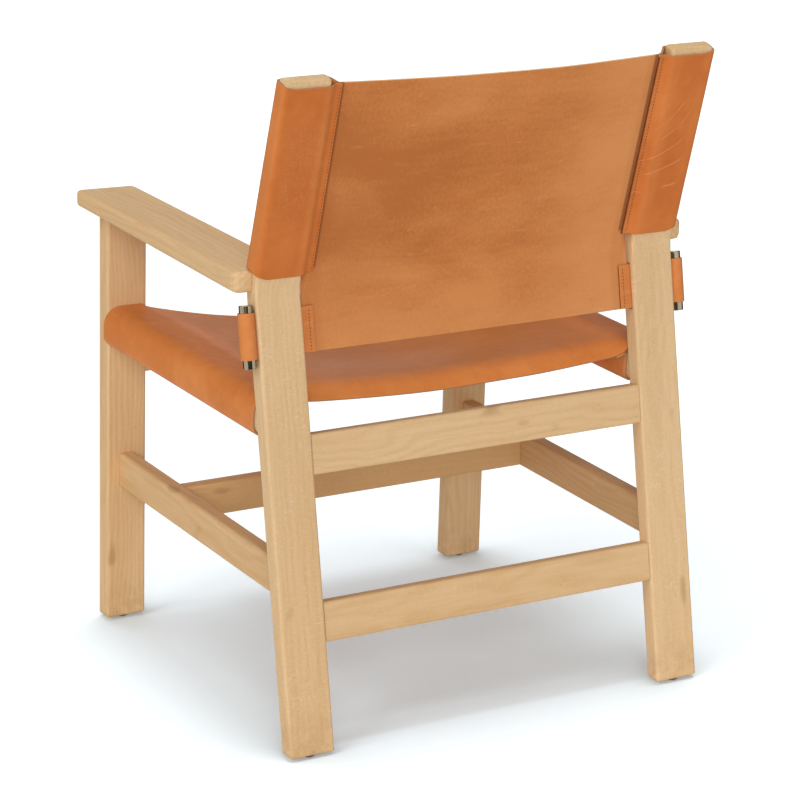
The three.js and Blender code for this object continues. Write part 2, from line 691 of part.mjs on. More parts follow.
function seatSling() {
  const lip = lipShares.map((s) => seatFrontY + s * frontLipLength);
  const span = seatBackY - rearLipLength - lip.at(-1);
  const main = seatRowShares.map((s) => lip.at(-1) + s * span);
  const rear = lipShares.slice(1).map((s) => main.at(-1) + s * rearLipLength);
  const across = middleOut(sheetShares, seatSheetX);
  const rows = [...lip, ...main, ...rear].map((y) => {
    const side = seatSleevePath(y);
    const sheet = across.map((x) => flat(x, seatMiddleZ(x, y)));
    const path = [...side.slice().reverse(), ...sheet, ...side.map(flipX)];
    return path.map((p) => point(p.x, y, p.y));
  });
  return sheetSolid(rows, seatLeather);
}

// Back sling: places are across (x), and ahead of the post's or leg's rear face
const backOffset = fitGap + backLeather / 2;
const panelDepth = flapDepth + backLeather + fitGap;
const seamX = innerX - seamInset;
const postThickness = (along) => THREE.MathUtils.mapLinear(
  along, 0, postLength, kinkThickness * postUp.y, postTopThickness,
);
const sleeveTop = postLength - sleeveTopGap;
const armRearTop = flat(armRearY, armTopAt(armRearY));
const sleeveBottom = armRearTop.clone().sub(kinkRear).dot(postUp) + sleeveArmGap;

// One side's sleeve in plan, from the panel's edge round the post to the flap's sewn edge. The third
// number says which layer a point is in: 0 in the front one, 1 in the rear one, shares on the outer side.
function backSleevePath(along) {
  const t = postThickness(along);
  const r = edgeRound;
  const o = backOffset;
  const [x0, x1] = [innerX, rearLegOuterX];
  const upper = [
    flat(x0 - frontLayerInset, panelDepth + backLeather / 2),
    flat(x0 - frontLayerBend, (panelDepth + t) / 2),
    ...arc(x0 + r, t - r, r + o, frontWrapFrom, 90, innerCornerSteps),
    ...arc(x1 - r, t - r, r + o, 90, 0, cornerSteps),
  ];
  const corner = arc(x1 - r, r, r + o, 0, -90, cornerSteps);
  const lower = [
    ...arc(x0 + r, r, r + o, -90, rearWrapTo, innerCornerSteps),
    flat(x0 - rearLayerBend, flapDepth - backLeather / 2),
    flat(seamX, flapDepth),
  ];
  return [
    ...upper.map((p) => point(p.x, p.y, 0)),
    ...corner.map((p, i) => point(p.x, p.y, i / corner.length)),
    ...lower.map((p) => point(p.x, p.y, 1)),
  ];
}

function panelBow(x, bow) {
  const half = innerX - panelSideGap - strapTabWidth;
  return bow * Math.max(1 - (x / half) ** 2, 0);
}

// Rows of the back sling: an origin on the rear face's line, the way ahead, the panel's depth and half width
function backRows() {
  const panelHalf = innerX - panelSideGap;
  const sleeveRows = sleeveRowShares.map((share) => {
    const along = sleeveBottom + share * (sleeveTop - sleeveBottom);
    return {
      origin: kinkRear.clone().addScaledVector(postUp, along), ahead: postAhead, depth: panelDepth,
      half: seamX, bow: THREE.MathUtils.lerp(lowerBow, upperBow, share), path: backSleevePath(along),
      hang: (1 - share) * sleeveHang, lift: share === 1 ? sleeveFrontLift : 0,
    };
  });
  const onLeg = (up, along, ahead, depth) => kinkRear.clone().addScaledVector(up, along)
    .addScaledVector(ahead, depth);
  const start = onLeg(postUp, sleeveBottom, postAhead, panelDepth);
  const end = onLeg(legUp, -panelBendBelow, legAhead, slotDepth);
  const reach = end.clone().sub(start).cross(legUp) / postUp.cross(legUp);
  const bend = new THREE.QuadraticBezierCurve(start, start.clone().addScaledVector(postUp, reach), end);
  const bendRows = bendShares.map((share) => {
    const down = bend.getTangent(share);
    return {
      origin: bend.getPoint(share), ahead: flat(down.y, -down.x), depth: 0, half: panelHalf, bow: lowerBow,
      edge: panelEdgeLift * (1 - share) ** 2,
    };
  });
  const lowest = {
    origin: kinkRear.clone().addScaledVector(legUp, alongLeg(panelBottomHeight)), ahead: legAhead,
    depth: slotDepth, half: panelHalf, bow: lowerBow,
  };
  return [...sleeveRows, ...bendRows, lowest];
}

function backSling() {
  const specs = backRows();
  const sleevePoints = specs[0].path.length;
  const lastSleeveRow = sleeveRowShares.length - 1;
  const rows = specs.map((row) => {
    const edge = (x) => (Math.abs(x) === row.half ? row.edge ?? 0 : 0);
    const panelPoint = (x) => point(x, row.depth - panelBow(x, row.bow) + edge(x), 0);
    const across = middleOut(panelShares, row.half).map(panelPoint);
    const path = row.path ?? specs[lastSleeveRow].path;
    const side = path.map((p, i) => {
      const lift = i === 0 ? 0 : (row.lift ?? 0) * (1 - p.z);
      return point(p.x, p.y, (row.hang ?? 0) * p.z - lift);
    });
    const other = side.map((p) => point(-p.x, p.y, p.z));
    const down = flat(-row.ahead.y, row.ahead.x);
    const place = (p) => {
      const spot = row.origin.clone().addScaledVector(row.ahead, p.y).addScaledVector(down, p.z);
      return inSpace(spot).setX(p.x);
    };
    return [...side.slice().reverse(), ...across, ...other].map(place);
  });
  const columns = rows[0].length;
  const isPanel = (u) => u >= sleevePoints && u < columns - sleevePoints - 1;
  return sheetSolid(rows, backLeather, (v, u) => v < lastSleeveRow || isPanel(u));
}

// Strap in plan: rear layer on the panel, through the slot, round the rod, and back to the front layer
function strapPath() {
  const tabDepth = backLeather / 2 + fitGap + strapLeather / 2;
  const slotLayer = (layerGap + strapLeather) / 2;
  const rodX = rearLegOuterX + rodStandoff + rodRadius;
  const tabX = innerX - panelSideGap - strapTabWidth + fitGap;
  const ring = rodRadius + fitGap + strapLeather / 2;
  const half = [
    flat(tabX, tabDepth),
    flat(innerX - panelSideGap + fitGap, tabDepth),
    flat(innerX + tabDepth, slotLayer),
    flat(rearLegOuterX - strapLeather / 2, slotLayer),
  ];
  const round = arc(rodX, 0, ring, loopOpening, -loopOpening, loopSteps);
  const mirrorHalf = half.map((p) => flat(p.x, -p.y));
  return [...half, ...round, ...mirrorHalf.reverse()];
}

// A strip of even thickness about a path, as a closed outline
function ribbon(path, thickness) {
  const normals = path.map((p, i) => {
    const along = path[Math.min(i + 1, path.length - 1)].clone().sub(path[Math.max(i - 1, 0)]).normalize();
    return flat(-along.y, along.x);
  });
  const side = (s) => path.map((p, i) => p.clone().addScaledVector(normals[i], (s * thickness) / 2));
  return [...side(1), ...side(-1).reverse()];
}

function strap() {
  const outline = ribbon(strapPath(), strapLeather);
  const axes = [X, inSpace(legAhead), inSpace(legUp).negate()];
  const top = kinkRear.clone().addScaledVector(legUp, strapSpan[1]).addScaledVector(legAhead, slotDepth);
  return extruded(outline, strapHeight, axes, inSpace(top));
}

// Materials, as photographed
const oak = new THREE.MeshStandardMaterial({ color: 0xd9b285, roughness: 0.6, metalness: 0 });
const hide = new THREE.MeshStandardMaterial({ color: 0xc8743c, roughness: 0.55, metalness: 0 });
const suede = new THREE.MeshStandardMaterial({ color: 0xc07c4c, roughness: 0.8, metalness: 0 });
const steel = new THREE.MeshStandardMaterial({ color: 0xc9c6bf, roughness: 0.2, metalness: 1 });
const brownPlastic = new THREE.MeshStandardMaterial({ color: 0x5a3a24, roughness: 0.6, metalness: 0 });

const chair = new THREE.Group();

function add(name, geometry, material, parent = chair) {
  const mesh = new THREE.Mesh(geometry, material);
  mesh.name = name;
  parent.add(mesh);
  return mesh;
}

function addPair(name, geometry, material) {
  add(`${name}_left`, geometry, material);
  add(`${name}_right`, mirrored(geometry.index ? geometry : mergeVertices(geometry)), material);
}

addPair('front_leg', frontLeg(), oak);
addPair('rear_leg', rearLeg(), oak);
addPair('armrest', armrest(), oak);
addPair('seat_side_rail', seatRail(), oak);
addPair('side_stretcher', sideStretcher(), oak);
const frontRailZ = [frontRailBottom, frontRailTop];
add('front_seat_rail', crossBar(frontRailY, frontRailZ, innerX, frontRailTenon), oak);
add('cross_stretcher', crossBar(crossY, crossZ, sideStretcherX, crossTenon()), oak);
add('upper_back_rail', backRail(upperBackRailTop), oak);
add('lower_back_rail', backRail(lowerBackRailTop), oak);
add('seat_sling', seatSling(), hide);
add('back_sling', backSling(), suede);
addPair('back_strap', strap(), hide);

const rodCentre = kinkRear.clone()
  .addScaledVector(legUp, (strapSpan[0] + strapSpan[1]) / 2 - rodDrop).addScaledVector(legAhead, slotDepth);
const rake = Math.atan2(-legUp.x, legUp.y);
for (const [side, name] of [[1, 'left'], [-1, 'right']]) {
  const bar = add(`toggle_rod_${name}`, rod(), steel);
  bar.position.copy(inSpace(rodCentre)).setX(side * (rearLegOuterX + rodStandoff + rodRadius));
  bar.rotation.x = Math.PI / 2 + rake;
  dowelX.forEach((x, i) => {
    const pin = add(`arm_dowel_${name}_${i === 0 ? 'inner' : 'outer'}`, dowel(), oak);
    pin.position.set(side * x, frontFaceY(kinkHeight) + (dowelInLeg - dowelInArm) / 2, dowelHeight);
  });
  const feet = [['front', frontGliderX, frontGliderY], ['rear', rearGliderX, rearGliderY]];
  for (const [end, x, y] of feet) {
    add(`glide_${end}_${name}`, glider(), brownPlastic).position.set(side * x, y, 0);
  }
}

export default chair;
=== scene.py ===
"""Leather sling lounge chair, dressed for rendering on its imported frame.

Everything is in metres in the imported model's frame: +Z up, the sitter faces -Y, and +X is the sitter's left. The
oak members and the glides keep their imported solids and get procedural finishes. The slings, the straps, the rods
and the stitching are surfaces worked out here.
"""

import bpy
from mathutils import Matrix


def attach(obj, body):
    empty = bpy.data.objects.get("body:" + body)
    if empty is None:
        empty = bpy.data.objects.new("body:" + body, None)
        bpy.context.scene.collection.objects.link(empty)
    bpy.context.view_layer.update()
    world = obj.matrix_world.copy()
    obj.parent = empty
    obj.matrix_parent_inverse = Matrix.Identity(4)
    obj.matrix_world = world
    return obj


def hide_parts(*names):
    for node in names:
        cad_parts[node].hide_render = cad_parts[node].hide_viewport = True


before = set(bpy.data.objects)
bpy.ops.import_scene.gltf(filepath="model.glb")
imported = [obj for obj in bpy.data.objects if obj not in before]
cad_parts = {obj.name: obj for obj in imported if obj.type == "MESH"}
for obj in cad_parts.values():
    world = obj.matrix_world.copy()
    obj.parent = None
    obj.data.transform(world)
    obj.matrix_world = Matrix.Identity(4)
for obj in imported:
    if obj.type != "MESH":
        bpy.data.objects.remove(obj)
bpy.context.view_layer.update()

import logging
import math
from collections.abc import Sequence
from dataclasses import dataclass, field
from enum import Enum
from typing import Any

import bpy
import numpy as np
from mathutils import Matrix, Vector

Array = np.ndarray
Colour = tuple[float, float, float, float]
Band = tuple[float, float, float, float]
LOG = logging.getLogger("lounge_chair")

MM = 0.001
ROOT_BODY = "chair"


def srgb(red: int, green: int, blue: int) -> Colour:
    """Turns a colour written in 0 to 255 screen values into linear light.

    Args:
        red, green, blue: The screen values.

    Returns:
        Linear red, green and blue with an alpha of 1.
    """
    screen = np.array([red, green, blue]) / 255
    linear = np.where(screen <= 0.04045, screen / 12.92, ((screen + 0.055) / 1.055) ** 2.4)
    return (*(float(value) for value in linear), 1.0)


def unit(vector: Array) -> Array:
    """Returns a vector, or each row of an array of vectors, at length 1."""
    return vector / np.linalg.norm(vector, axis=-1, keepdims=True)


def smooth(value: Array, low: float, high: float) -> Array:
    """Returns 0 below low, 1 above high, and the cubic 3t^2 - 2t^3 between them."""
    share = np.clip((np.asarray(value) - low) / (high - low), 0, 1)
    return share * share * (3 - 2 * share)


class Side(Enum):
    """The sitter's two sides, by the sign of X."""

    LEFT = 1
    RIGHT = -1

    @property
    def label(self) -> str:
        """Returns the side's name as node names end with it."""
        return self.name.lower()


# ---------------------------------------------------------------------------------------- shapes


def filleted(corners: Array, radii: Sequence[float], steps: int = 7) -> Array:
    """Rounds the inner corners of a polyline.

    A corner that turns by an angle a is replaced by an arc that starts r tan(a/2) before it, about a centre on the
    corner's bisector at r / cos(a/2).

    Args:
        corners: The polyline, shape (n, 2).
        radii: One radius for each corner but the first and last, 0 for a sharp one.
        steps: Segments in each arc.

    Returns:
        The rounded polyline, shape (m, 2).
    """
    runs = [corners[:1]]
    share = np.linspace(0, 1, steps + 1)[:, None]
    for before, corner, after, radius in zip(corners[:-2], corners[1:-1], corners[2:], radii):
        back, on = unit(before - corner), unit(after - corner)
        turn = math.acos(float(np.clip(-(back @ on), -1, 1)))
        if radius == 0 or turn < 1e-4:
            runs.append(corner[None])
            continue
        centre = corner + unit(back + on) * radius / math.cos(turn / 2)
        start = corner + back * radius * math.tan(turn / 2) - centre
        end = corner + on * radius * math.tan(turn / 2) - centre
        blend = (np.sin((1 - share) * turn) * start + np.sin(share * turn) * end) / math.sin(turn)
        runs.append(centre + blend)
    runs.append(corners[-1:])
    return np.concatenate(runs)


def arc_lengths(path: Array) -> Array:
    """Returns the distance along a path from its start to each of its points."""
    steps = np.linalg.norm(np.diff(path, axis=0), axis=1)
    return np.concatenate([[0.0], np.cumsum(steps)])


def mean_lengths(grid: Array, axis: int) -> Array:
    """Returns the distance from a grid's start to each place along one of its axes, as the mean over the other."""
    steps = np.linalg.norm(np.diff(grid, axis=axis), axis=2).mean(axis=1 - axis)
    return np.concatenate([[0.0], np.cumsum(steps)])


def both_edges(edge: Array, count: int) -> Array:
    """Returns an edge's places, count even ones from its last place to that place's mirror, and its mirror."""
    return np.concatenate([edge, np.linspace(edge[-1], -edge[-1], count)[1:-1], -edge[::-1]])


def resampled(path: Array, count: int) -> Array:
    """Returns count points evenly spaced along a polyline, found by linear interpolation on its arc length."""
    lengths = arc_lengths(path)
    wanted = np.linspace(0, lengths[-1], count)
    return np.stack([np.interp(wanted, lengths, column) for column in path.T], axis=1)


@dataclass(frozen=True)
class Waves:
    """Soft unevenness: a sum of sine waves over a surface, each with its own direction, length and phase."""

    height: float
    length: float
    seed: int
    count: int = 7

    def over(self, u: Array, v: Array) -> Array:
        """Returns the height at places u, v in metres: the mean of sin(2 pi (u cos t + v sin t) / L + p)."""
        chance = np.random.default_rng(self.seed)
        turn = chance.uniform(0, math.tau, self.count)
        size = self.length * chance.uniform(0.6, 1.7, self.count)
        phase = chance.uniform(0, math.tau, self.count)
        along = u[..., None] * np.cos(turn) + v[..., None] * np.sin(turn)
        return self.height * np.sin(math.tau * along / size + phase).mean(axis=-1) * 2


def linked(name: str, data: bpy.types.ID) -> bpy.types.Object:
    """Returns a new object with this name and data, linked into the scene."""
    made = bpy.data.objects.new(name, data)
    bpy.context.scene.collection.objects.link(made)
    return made


def mesh_object(name: str, points: Array, faces: Array, uvs: Array | None = None) -> bpy.types.Object:
    """Makes a smooth-shaded object from arrays, at the origin with its place in its mesh.

    Args:
        name: The piece's name.
        points: Vertices, shape (n, 3).
        faces: Vertex indices, shape (m, corners).
        uvs: Surface coordinates of the vertices in metres, shape (n, 2).

    Returns:
        The object, linked into the scene.
    """
    mesh = bpy.data.meshes.new(name)
    count, corners = faces.shape
    mesh.vertices.add(len(points))
    mesh.vertices.foreach_set("co", np.ascontiguousarray(points, np.float32).ravel())
    mesh.loops.add(count * corners)
    mesh.loops.foreach_set("vertex_index", faces.astype(np.int32).ravel())
    mesh.polygons.add(count)
    mesh.polygons.foreach_set("loop_start", np.arange(0, count * corners, corners, dtype=np.int32))
    mesh.polygons.foreach_set("use_smooth", np.ones(count, bool))
    mesh.update(calc_edges=True)
    if uvs is not None:
        layer = mesh.uv_layers.new(name="surface")
        layer.data.foreach_set("uv", uvs[faces.ravel()].astype(np.float32).ravel())
    mesh.validate()
    return linked(name, mesh)


def grid_faces(rows: int, columns: int, present: Array | None = None) -> Array:
    """Returns the quads of a grid of points, all of them or those of the cells that are present."""
    first = (np.arange(rows - 1)[:, None] * columns + np.arange(columns - 1)[None]).ravel()
    quads = np.stack([first, first + 1, first + columns + 1, first + columns], axis=1)
    return quads if present is None else quads[present.ravel()]


def ring_quads(rings: int, sides: int) -> Array:
    """Returns the quads between rings of points that are numbered one ring after the other."""
    base, here = np.arange(rings - 1)[:, None] * sides, np.arange(sides)
    first, after = (base + here).ravel(), (base + (here + 1) % sides).ravel()
    return np.stack([first, after, after + sides, first + sides], axis=1)


def revolved(profile: Array, sides: int) -> tuple[Array, Array]:
    """Turns a profile about its own height axis: each (r, h) becomes a ring of (r cos t, r sin t, h).

    Args:
        profile: Radius and height, shape (n, 2), with a small hole left at each end for the cap.
        sides: Points in a ring.

    Returns:
        Points (n * sides + 2, 3) and triangles (m, 3), with one pole point closing each end.
    """
    turn = np.linspace(0, math.tau, sides, endpoint=False)
    radius, height = profile[:, :1], profile[:, 1:]
    rings = np.stack([radius * np.cos(turn), radius * np.sin(turn), height + 0 * turn], axis=-1)
    poles = np.array([[0, 0, profile[0, 1]], [0, 0, profile[-1, 1]]])
    here, after = np.arange(sides), (np.arange(sides) + 1) % sides
    quads = ring_quads(len(profile), sides)
    wall = np.concatenate([quads[:, [0, 1, 2]], quads[:, [0, 2, 3]]])
    low, top = len(profile) * sides, (len(profile) - 1) * sides
    low_cap = np.stack([after, here, np.full(sides, low)], 1)
    top_cap = np.stack([top + here, top + after, np.full(sides, low + 1)], 1)
    return np.concatenate([rings.reshape(-1, 3), poles]), np.concatenate([wall, low_cap, top_cap])


@dataclass(frozen=True)
class RearLegLines:
    """The rear leg: (y, z) places on its rear face at foot, kink and post top, and its two sides.

    The strap's slot is slot_depth ahead of the rear face. The back's panel ends panel_gap short of the leg.
    """

    foot: tuple[float, float] = (0.2685, 0.004)
    kink: tuple[float, float] = (0.1635, 0.542)
    top: tuple[float, float] = (0.228, 0.792)
    inner: float = 230 * MM
    outer: float = 289 * MM
    slot_depth: float = 9 * MM
    panel_gap: float = 3.3 * MM

    @property
    def leg_up(self) -> Array:
        """Returns the unit direction up the raked leg in (y, z)."""
        return unit(np.subtract(self.kink, self.foot))

    @property
    def post_up(self) -> Array:
        """Returns the unit direction up the leaning post in (y, z)."""
        return unit(np.subtract(self.top, self.kink))

    @staticmethod
    def ahead_of(up: Array) -> Array:
        """Returns the direction square to up, out of the front face: (y, z) turned a quarter."""
        return np.stack([-up[..., 1], up[..., 0]], axis=-1)

    def place(self, up: Array, x: Array, ahead: Array, along: Array) -> Array:
        """Places points by a member's own axes: kink + along * up + ahead * (up turned a quarter).

        Args:
            up: The member's direction in (y, z).
            x: Places across the chair.
            ahead: Distances in front of the rear face.
            along: Distances up from the kink.

        Returns:
            Points in the model's frame, with a last axis of three.
        """
        x, ahead, along = np.broadcast_arrays(x, ahead, along)
        flat = np.array(self.kink) + along[..., None] * up + ahead[..., None] * self.ahead_of(up)
        return np.concatenate([x[..., None], flat], axis=-1)

    def row(self, up: Array, x: float, ahead: float, along: Array) -> tuple[Array, Array, Array]:
        """Returns places up a member and, for each, the member's direction and the way out of its rear face."""
        ones = np.ones((len(along), 1))
        outward = -ones * np.array([0, *self.ahead_of(up)])
        return self.place(up, x, ahead, along), ones * np.array([0, *up]), outward


LINES = RearLegLines()


def settled(made: bpy.types.Object, body: str, stands_for: str | None = None) -> bpy.types.Object:
    """Rides a piece on its body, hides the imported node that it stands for, and returns it."""
    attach(made, body)
    if stands_for is not None:
        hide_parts(stands_for)
    return made


# ---------------------------------------------------------------------------------------- shader maths


class Signal:
    """A socket in a node tree. Arithmetic on it adds the Math nodes that work it out."""

    def __init__(self, tree: "Tree", socket: bpy.types.NodeSocket) -> None:
        """Keeps the tree and the socket."""
        self.tree = tree
        self.socket = socket

    def _math(self, operation: str, *values: Any) -> "Signal":
        """Returns the result of a Math node of this operation on the values."""
        made = self.tree.node("ShaderNodeMath", {"operation": operation}, dict(enumerate(values)))
        return self.tree.out(made, "Value")

    def __add__(self, other: Any) -> "Signal":
        """Returns self + other."""
        return self._math("ADD", self, other)

    def __sub__(self, other: Any) -> "Signal":
        """Returns self - other."""
        return self._math("SUBTRACT", self, other)

    def __rsub__(self, other: Any) -> "Signal":
        """Returns other - self."""
        return self._math("SUBTRACT", other, self)

    def __mul__(self, other: Any) -> "Signal":
        """Returns self * other."""
        return self._math("MULTIPLY", self, other)

    def __pow__(self, other: Any) -> "Signal":
        """Returns self to the power of other."""
        return self._math("POWER", self, other)

    __radd__ = __add__
    __rmul__ = __mul__

    def sine(self) -> "Signal":
        """Returns the sine of the value in radians."""
        return self._math("SINE", self)

    def size(self) -> "Signal":
        """Returns the absolute value."""
        return self._math("ABSOLUTE", self)

    def most(self, other: Any) -> "Signal":
        """Returns the greater of two values."""
        return self._math("MAXIMUM", self, other)

    def step(self, low: float, high: float) -> "Signal":
        """Returns 0 below low and 1 above high, smooth between them; high below low turns it round."""
        inputs = {"Value": self, "From Min": low, "From Max": high, "To Min": 0.0, "To Max": 1.0}
        made = self.tree.node("ShaderNodeMapRange", {"interpolation_type": "SMOOTHSTEP"}, inputs)
        return self.tree.out(made, "Result")

    def band(self, low: float, full: float, end: float, high: float) -> "Signal":
        """Returns 1 from full to end and 0 outside low to high, smooth between them."""
        return self.step(low, full) * self.step(high, end)


class Tree:
    """The node tree of a new material or surround."""

    def __init__(self, owner: str | bpy.types.World) -> None:
        """Empties the tree of a surround, or of a new material of this name."""
        self.owner = bpy.data.materials.new(owner) if isinstance(owner, str) else owner
        self.owner.use_nodes = True
        self.nodes = self.owner.node_tree.nodes
        self.nodes.clear()

    def node(
        self, kind: str, settings: dict[str, Any] | None = None, inputs: dict[Any, Any] | None = None
    ) -> bpy.types.Node:
        """Adds a node.

        Args:
            kind: The node's type.
            settings: Its properties, which are set first.
            inputs: Values or signals by the socket's name, identifier or number.

        Returns:
            The node.
        """
        made = self.nodes.new(kind)
        for key, value in (settings or {}).items():
            setattr(made, key, value)
        for key, value in (inputs or {}).items():
            self.feed(made, key, value)
        return made

    def feed(self, node: bpy.types.Node, key: Any, value: Any) -> None:
        """Sets or links the input that has this number, identifier or name."""
        if isinstance(key, int):
            socket = node.inputs[key]
        else:
            socket = next(s for s in node.inputs if key in (s.identifier, s.name) and s.enabled)
        if isinstance(value, Signal):
            self.owner.node_tree.links.new(value.socket, socket)
        else:
            socket.default_value = value

    def out(self, node: bpy.types.Node, key: str) -> Signal:
        """Returns the node's enabled output that has this name or identifier."""
        return Signal(self, next(s for s in node.outputs if key in (s.identifier, s.name) and s.enabled))

    def place(self, offset: Sequence[float] = (0, 0, 0), turn: Sequence[float] = (0, 0, 0)) -> Signal:
        """Returns Object coordinates, turned and then moved."""
        coordinates = self.out(self.node("ShaderNodeTexCoord"), "Object")
        made = self.node("ShaderNodeMapping", {}, {"Vector": coordinates, "Location": offset, "Rotation": turn})
        return self.out(made, "Vector")

    def surface(self, offset: Sequence[float] = (0, 0, 0)) -> Signal:
        """Returns the piece's own surface coordinates in metres, moved."""
        coordinates = self.out(self.node("ShaderNodeUVMap", {"uv_map": "surface"}), "UV")
        return self.out(self.node("ShaderNodeMapping", {}, {"Vector": coordinates, "Location": offset}), "Vector")

    def stretched(self, vector: Signal, factors: Sequence[float]) -> Signal:
        """Returns a vector with each axis multiplied by its factor."""
        made = self.node("ShaderNodeVectorMath", {"operation": "MULTIPLY"}, {0: vector, 1: factors})
        return self.out(made, "Vector")

    def parts(self, vector: Signal) -> tuple[Signal, Signal, Signal]:
        """Returns a vector's three components."""
        made = self.node("ShaderNodeSeparateXYZ", {}, {"Vector": vector})
        return self.out(made, "X"), self.out(made, "Y"), self.out(made, "Z")

    def noise(
        self,
        vector: Signal,
        scale: float,
        detail: float = 2.0,
        rough: float = 0.5,
        warp: float = 0.0,
        stretch: Sequence[float] | None = None,
    ) -> Signal:
        """Returns fractal noise from 0 to 1 about a mean of 0.5, on axes multiplied by the stretch."""
        spot = vector if stretch is None else self.stretched(vector, stretch)
        inputs = {"Vector": spot, "Scale": scale, "Detail": detail, "Roughness": rough, "Distortion": warp}
        return self.out(self.node("ShaderNodeTexNoise", {}, inputs), "Fac")

    def veins(self, width: float, *of_noise: Any) -> Signal:
        """Returns 1 along the lines where a noise crosses its mean, fading out to 0 at width either side."""
        return (self.noise(*of_noise) - 0.5).size().step(width, 0.0)

    def cells(self, vector: Signal, scale: float) -> Signal:
        """Returns the distance to the nearest cell centre, from 0 up to about 1."""
        made = self.node("ShaderNodeTexVoronoi", {"feature": "F1"}, {"Vector": vector, "Scale": scale})
        return self.out(made, "Distance")

    def mix(self, share: Any, first: Any, second: Any) -> Signal:
        """Returns a colour that goes from first to second as share goes from 0 to 1."""
        settings = {"data_type": "RGBA", "clamp_factor": True}
        inputs = {"Factor_Float": share, "A_Color": first, "B_Color": second}
        return self.out(self.node("ShaderNodeMix", settings, inputs), "Result_Color")

    def bump(self, height: Signal, distance: float, strength: float = 1.0, normal: Signal | None = None) -> Signal:
        """Returns the normal of a surface raised by height times distance."""
        inputs = {"Height": height, "Distance": distance, "Strength": strength}
        if normal is not None:
            inputs["Normal"] = normal
        return self.out(self.node("ShaderNodeBump", {}, inputs), "Normal")

    def finish(self, **inputs: Any) -> bpy.types.Material:
        """Wires a Principled shader with these inputs, underscores for spaces, and returns the material."""
        named = {key.replace("_", " "): value for key, value in inputs.items()}
        return self.show(self.out(self.node("ShaderNodeBsdfPrincipled", {}, named), "BSDF"))

    def show(self, shader: Signal, output: str = "ShaderNodeOutputMaterial") -> bpy.types.ID:
        """Wires a shader to a new output and returns the tree's owner."""
        self.node(output, {}, {"Surface": shader})
        return self.owner


# ---------------------------------------------------------------------------------------- finishes


class Grain(Enum):
    """The way a member's fibres run, as the turn that brings them upright."""

    UPRIGHT = (0.0, 0.0, 0.0)
    RAKED = (math.atan2(*LINES.leg_up), 0.0, 0.0)
    ALONG = (math.pi / 2, 0.0, 0.0)
    ACROSS = (0.0, -math.pi / 2, 0.0)


@dataclass(frozen=True)
class Board:
    """How a kind of member is cut.

    The flecks are how strongly the rays show, from 0 to 1, and the depth is how far the colour leans to late wood,
    which on the stretchers is painted shade.
    """

    grain: Grain
    flecks: float = 0.35
    depth: float = 0.4


@dataclass(frozen=True)
class SoapedOak:
    """Pale oak sawn near the quarter, soaped and matt."""

    early: Colour = srgb(226, 192, 147)
    late: Colour = srgb(206, 164, 112)
    pore: Colour = srgb(168, 126, 78)
    ray: Colour = srgb(238, 212, 172)
    knot: Colour = srgb(158, 114, 72)
    ring_pitch: float = 5.8 * MM
    ring_wander: float = 55 * MM
    edge_round: float = 1.6 * MM
    scuffed_below: float = 70 * MM
    grain_height: float = 0.2 * MM

    def material(self, name: str, board: Board, offset: Sequence[float]) -> bpy.types.Material:
        """Makes the finish for one member.

        Rings are sin(2 pi r / pitch) of the distance r from a pith line beside the board, made uneven by noise
        that is drawn out along the fibres. Pores are short dark dashes along the fibres. Rays are pale dashes
        across them, most of them small, with a few long wavy ones in patches.

        Args:
            name: The material's name.
            board: How the member is cut.
            offset: Where it was cut from the log.

        Returns:
            The material.
        """
        tree = Tree(name)
        spot = tree.place(offset, board.grain.value)
        broad = tree.noise(spot, 11, 3, 0.55, 0, (1, 1, 0.12))
        wander = tree.noise(spot, 9, 3, 0.55, 0, (1, 1, 0.3)) - 0.5
        pith = tree.node("ShaderNodeVectorMath", {"operation": "LENGTH"}, {0: tree.stretched(spot, (1, 1, 0.02))})
        out = tree.out(pith, "Value") + wander * self.ring_wander
        ring = (out * (math.tau / self.ring_pitch)).sine() * 0.5 + 0.5
        fibre = tree.noise(spot, 900, 2, 0.6, 0, (1, 1, 0.025))
        streak = tree.noise(spot, 190, 3, 0.6, 0, (1, 1, 0.03))
        pores = tree.noise(spot, 1250, 1, 0.5, 0, (1, 1, 0.11)).step(0.62, 0.74) * (ring * 0.7 + 0.3)
        small_rays = tree.noise(spot, 370, 2, 0.6, 0.9, (1, 1, 1.6)).step(0.48, 0.66)
        patch = tree.noise(spot, 26, 2, 0.5, 0, (1, 1, 0.4)).step(0.52, 0.62)
        long_rays = tree.veins(0.03, spot, 75, 1, 0.5, 1.2, (0.55, 0.55, 1.6)) * patch
        knot = tree.noise(spot, 31, 1, 0.5, 0, (1, 1, 0.45)).step(0.71, 0.8)
        rings_shown = 0.3 - 0.18 * board.flecks
        tone = (broad - 0.5) * 1.3 + (ring**2 - 0.4) * rings_shown + (fibre - 0.5) * 0.55
        tone = tone + (streak - 0.5) * 0.6 + board.depth
        colour = tree.mix(tone, self.early, self.late)
        colour = tree.mix(small_rays * (0.26 * board.flecks), colour, self.ray)
        colour = tree.mix(long_rays * (0.4 * board.flecks), colour, self.ray)
        colour = tree.mix(pores * 0.3, colour, self.pore)
        _, _, height = tree.parts(tree.place())
        scuffed = height.step(self.scuffed_below, 0.0) * tree.noise(spot, 60, 3, 0.6).step(0.35, 0.65)
        colour = tree.mix(knot * 0.45 + scuffed * 0.3, colour, self.knot)
        rounded = tree.out(tree.node("ShaderNodeBevel", {"samples": 4}, {"Radius": self.edge_round}), "Normal")
        relief = fibre * 0.3 - pores * 0.5 + streak * 0.3
        return tree.finish(
            Base_Color=colour,
            Roughness=fibre * 0.16 + 0.52 - small_rays * (0.05 * board.flecks),
            Normal=tree.bump(relief, self.grain_height, 0.4, rounded),
            Specular_IOR_Level=0.25,
        )


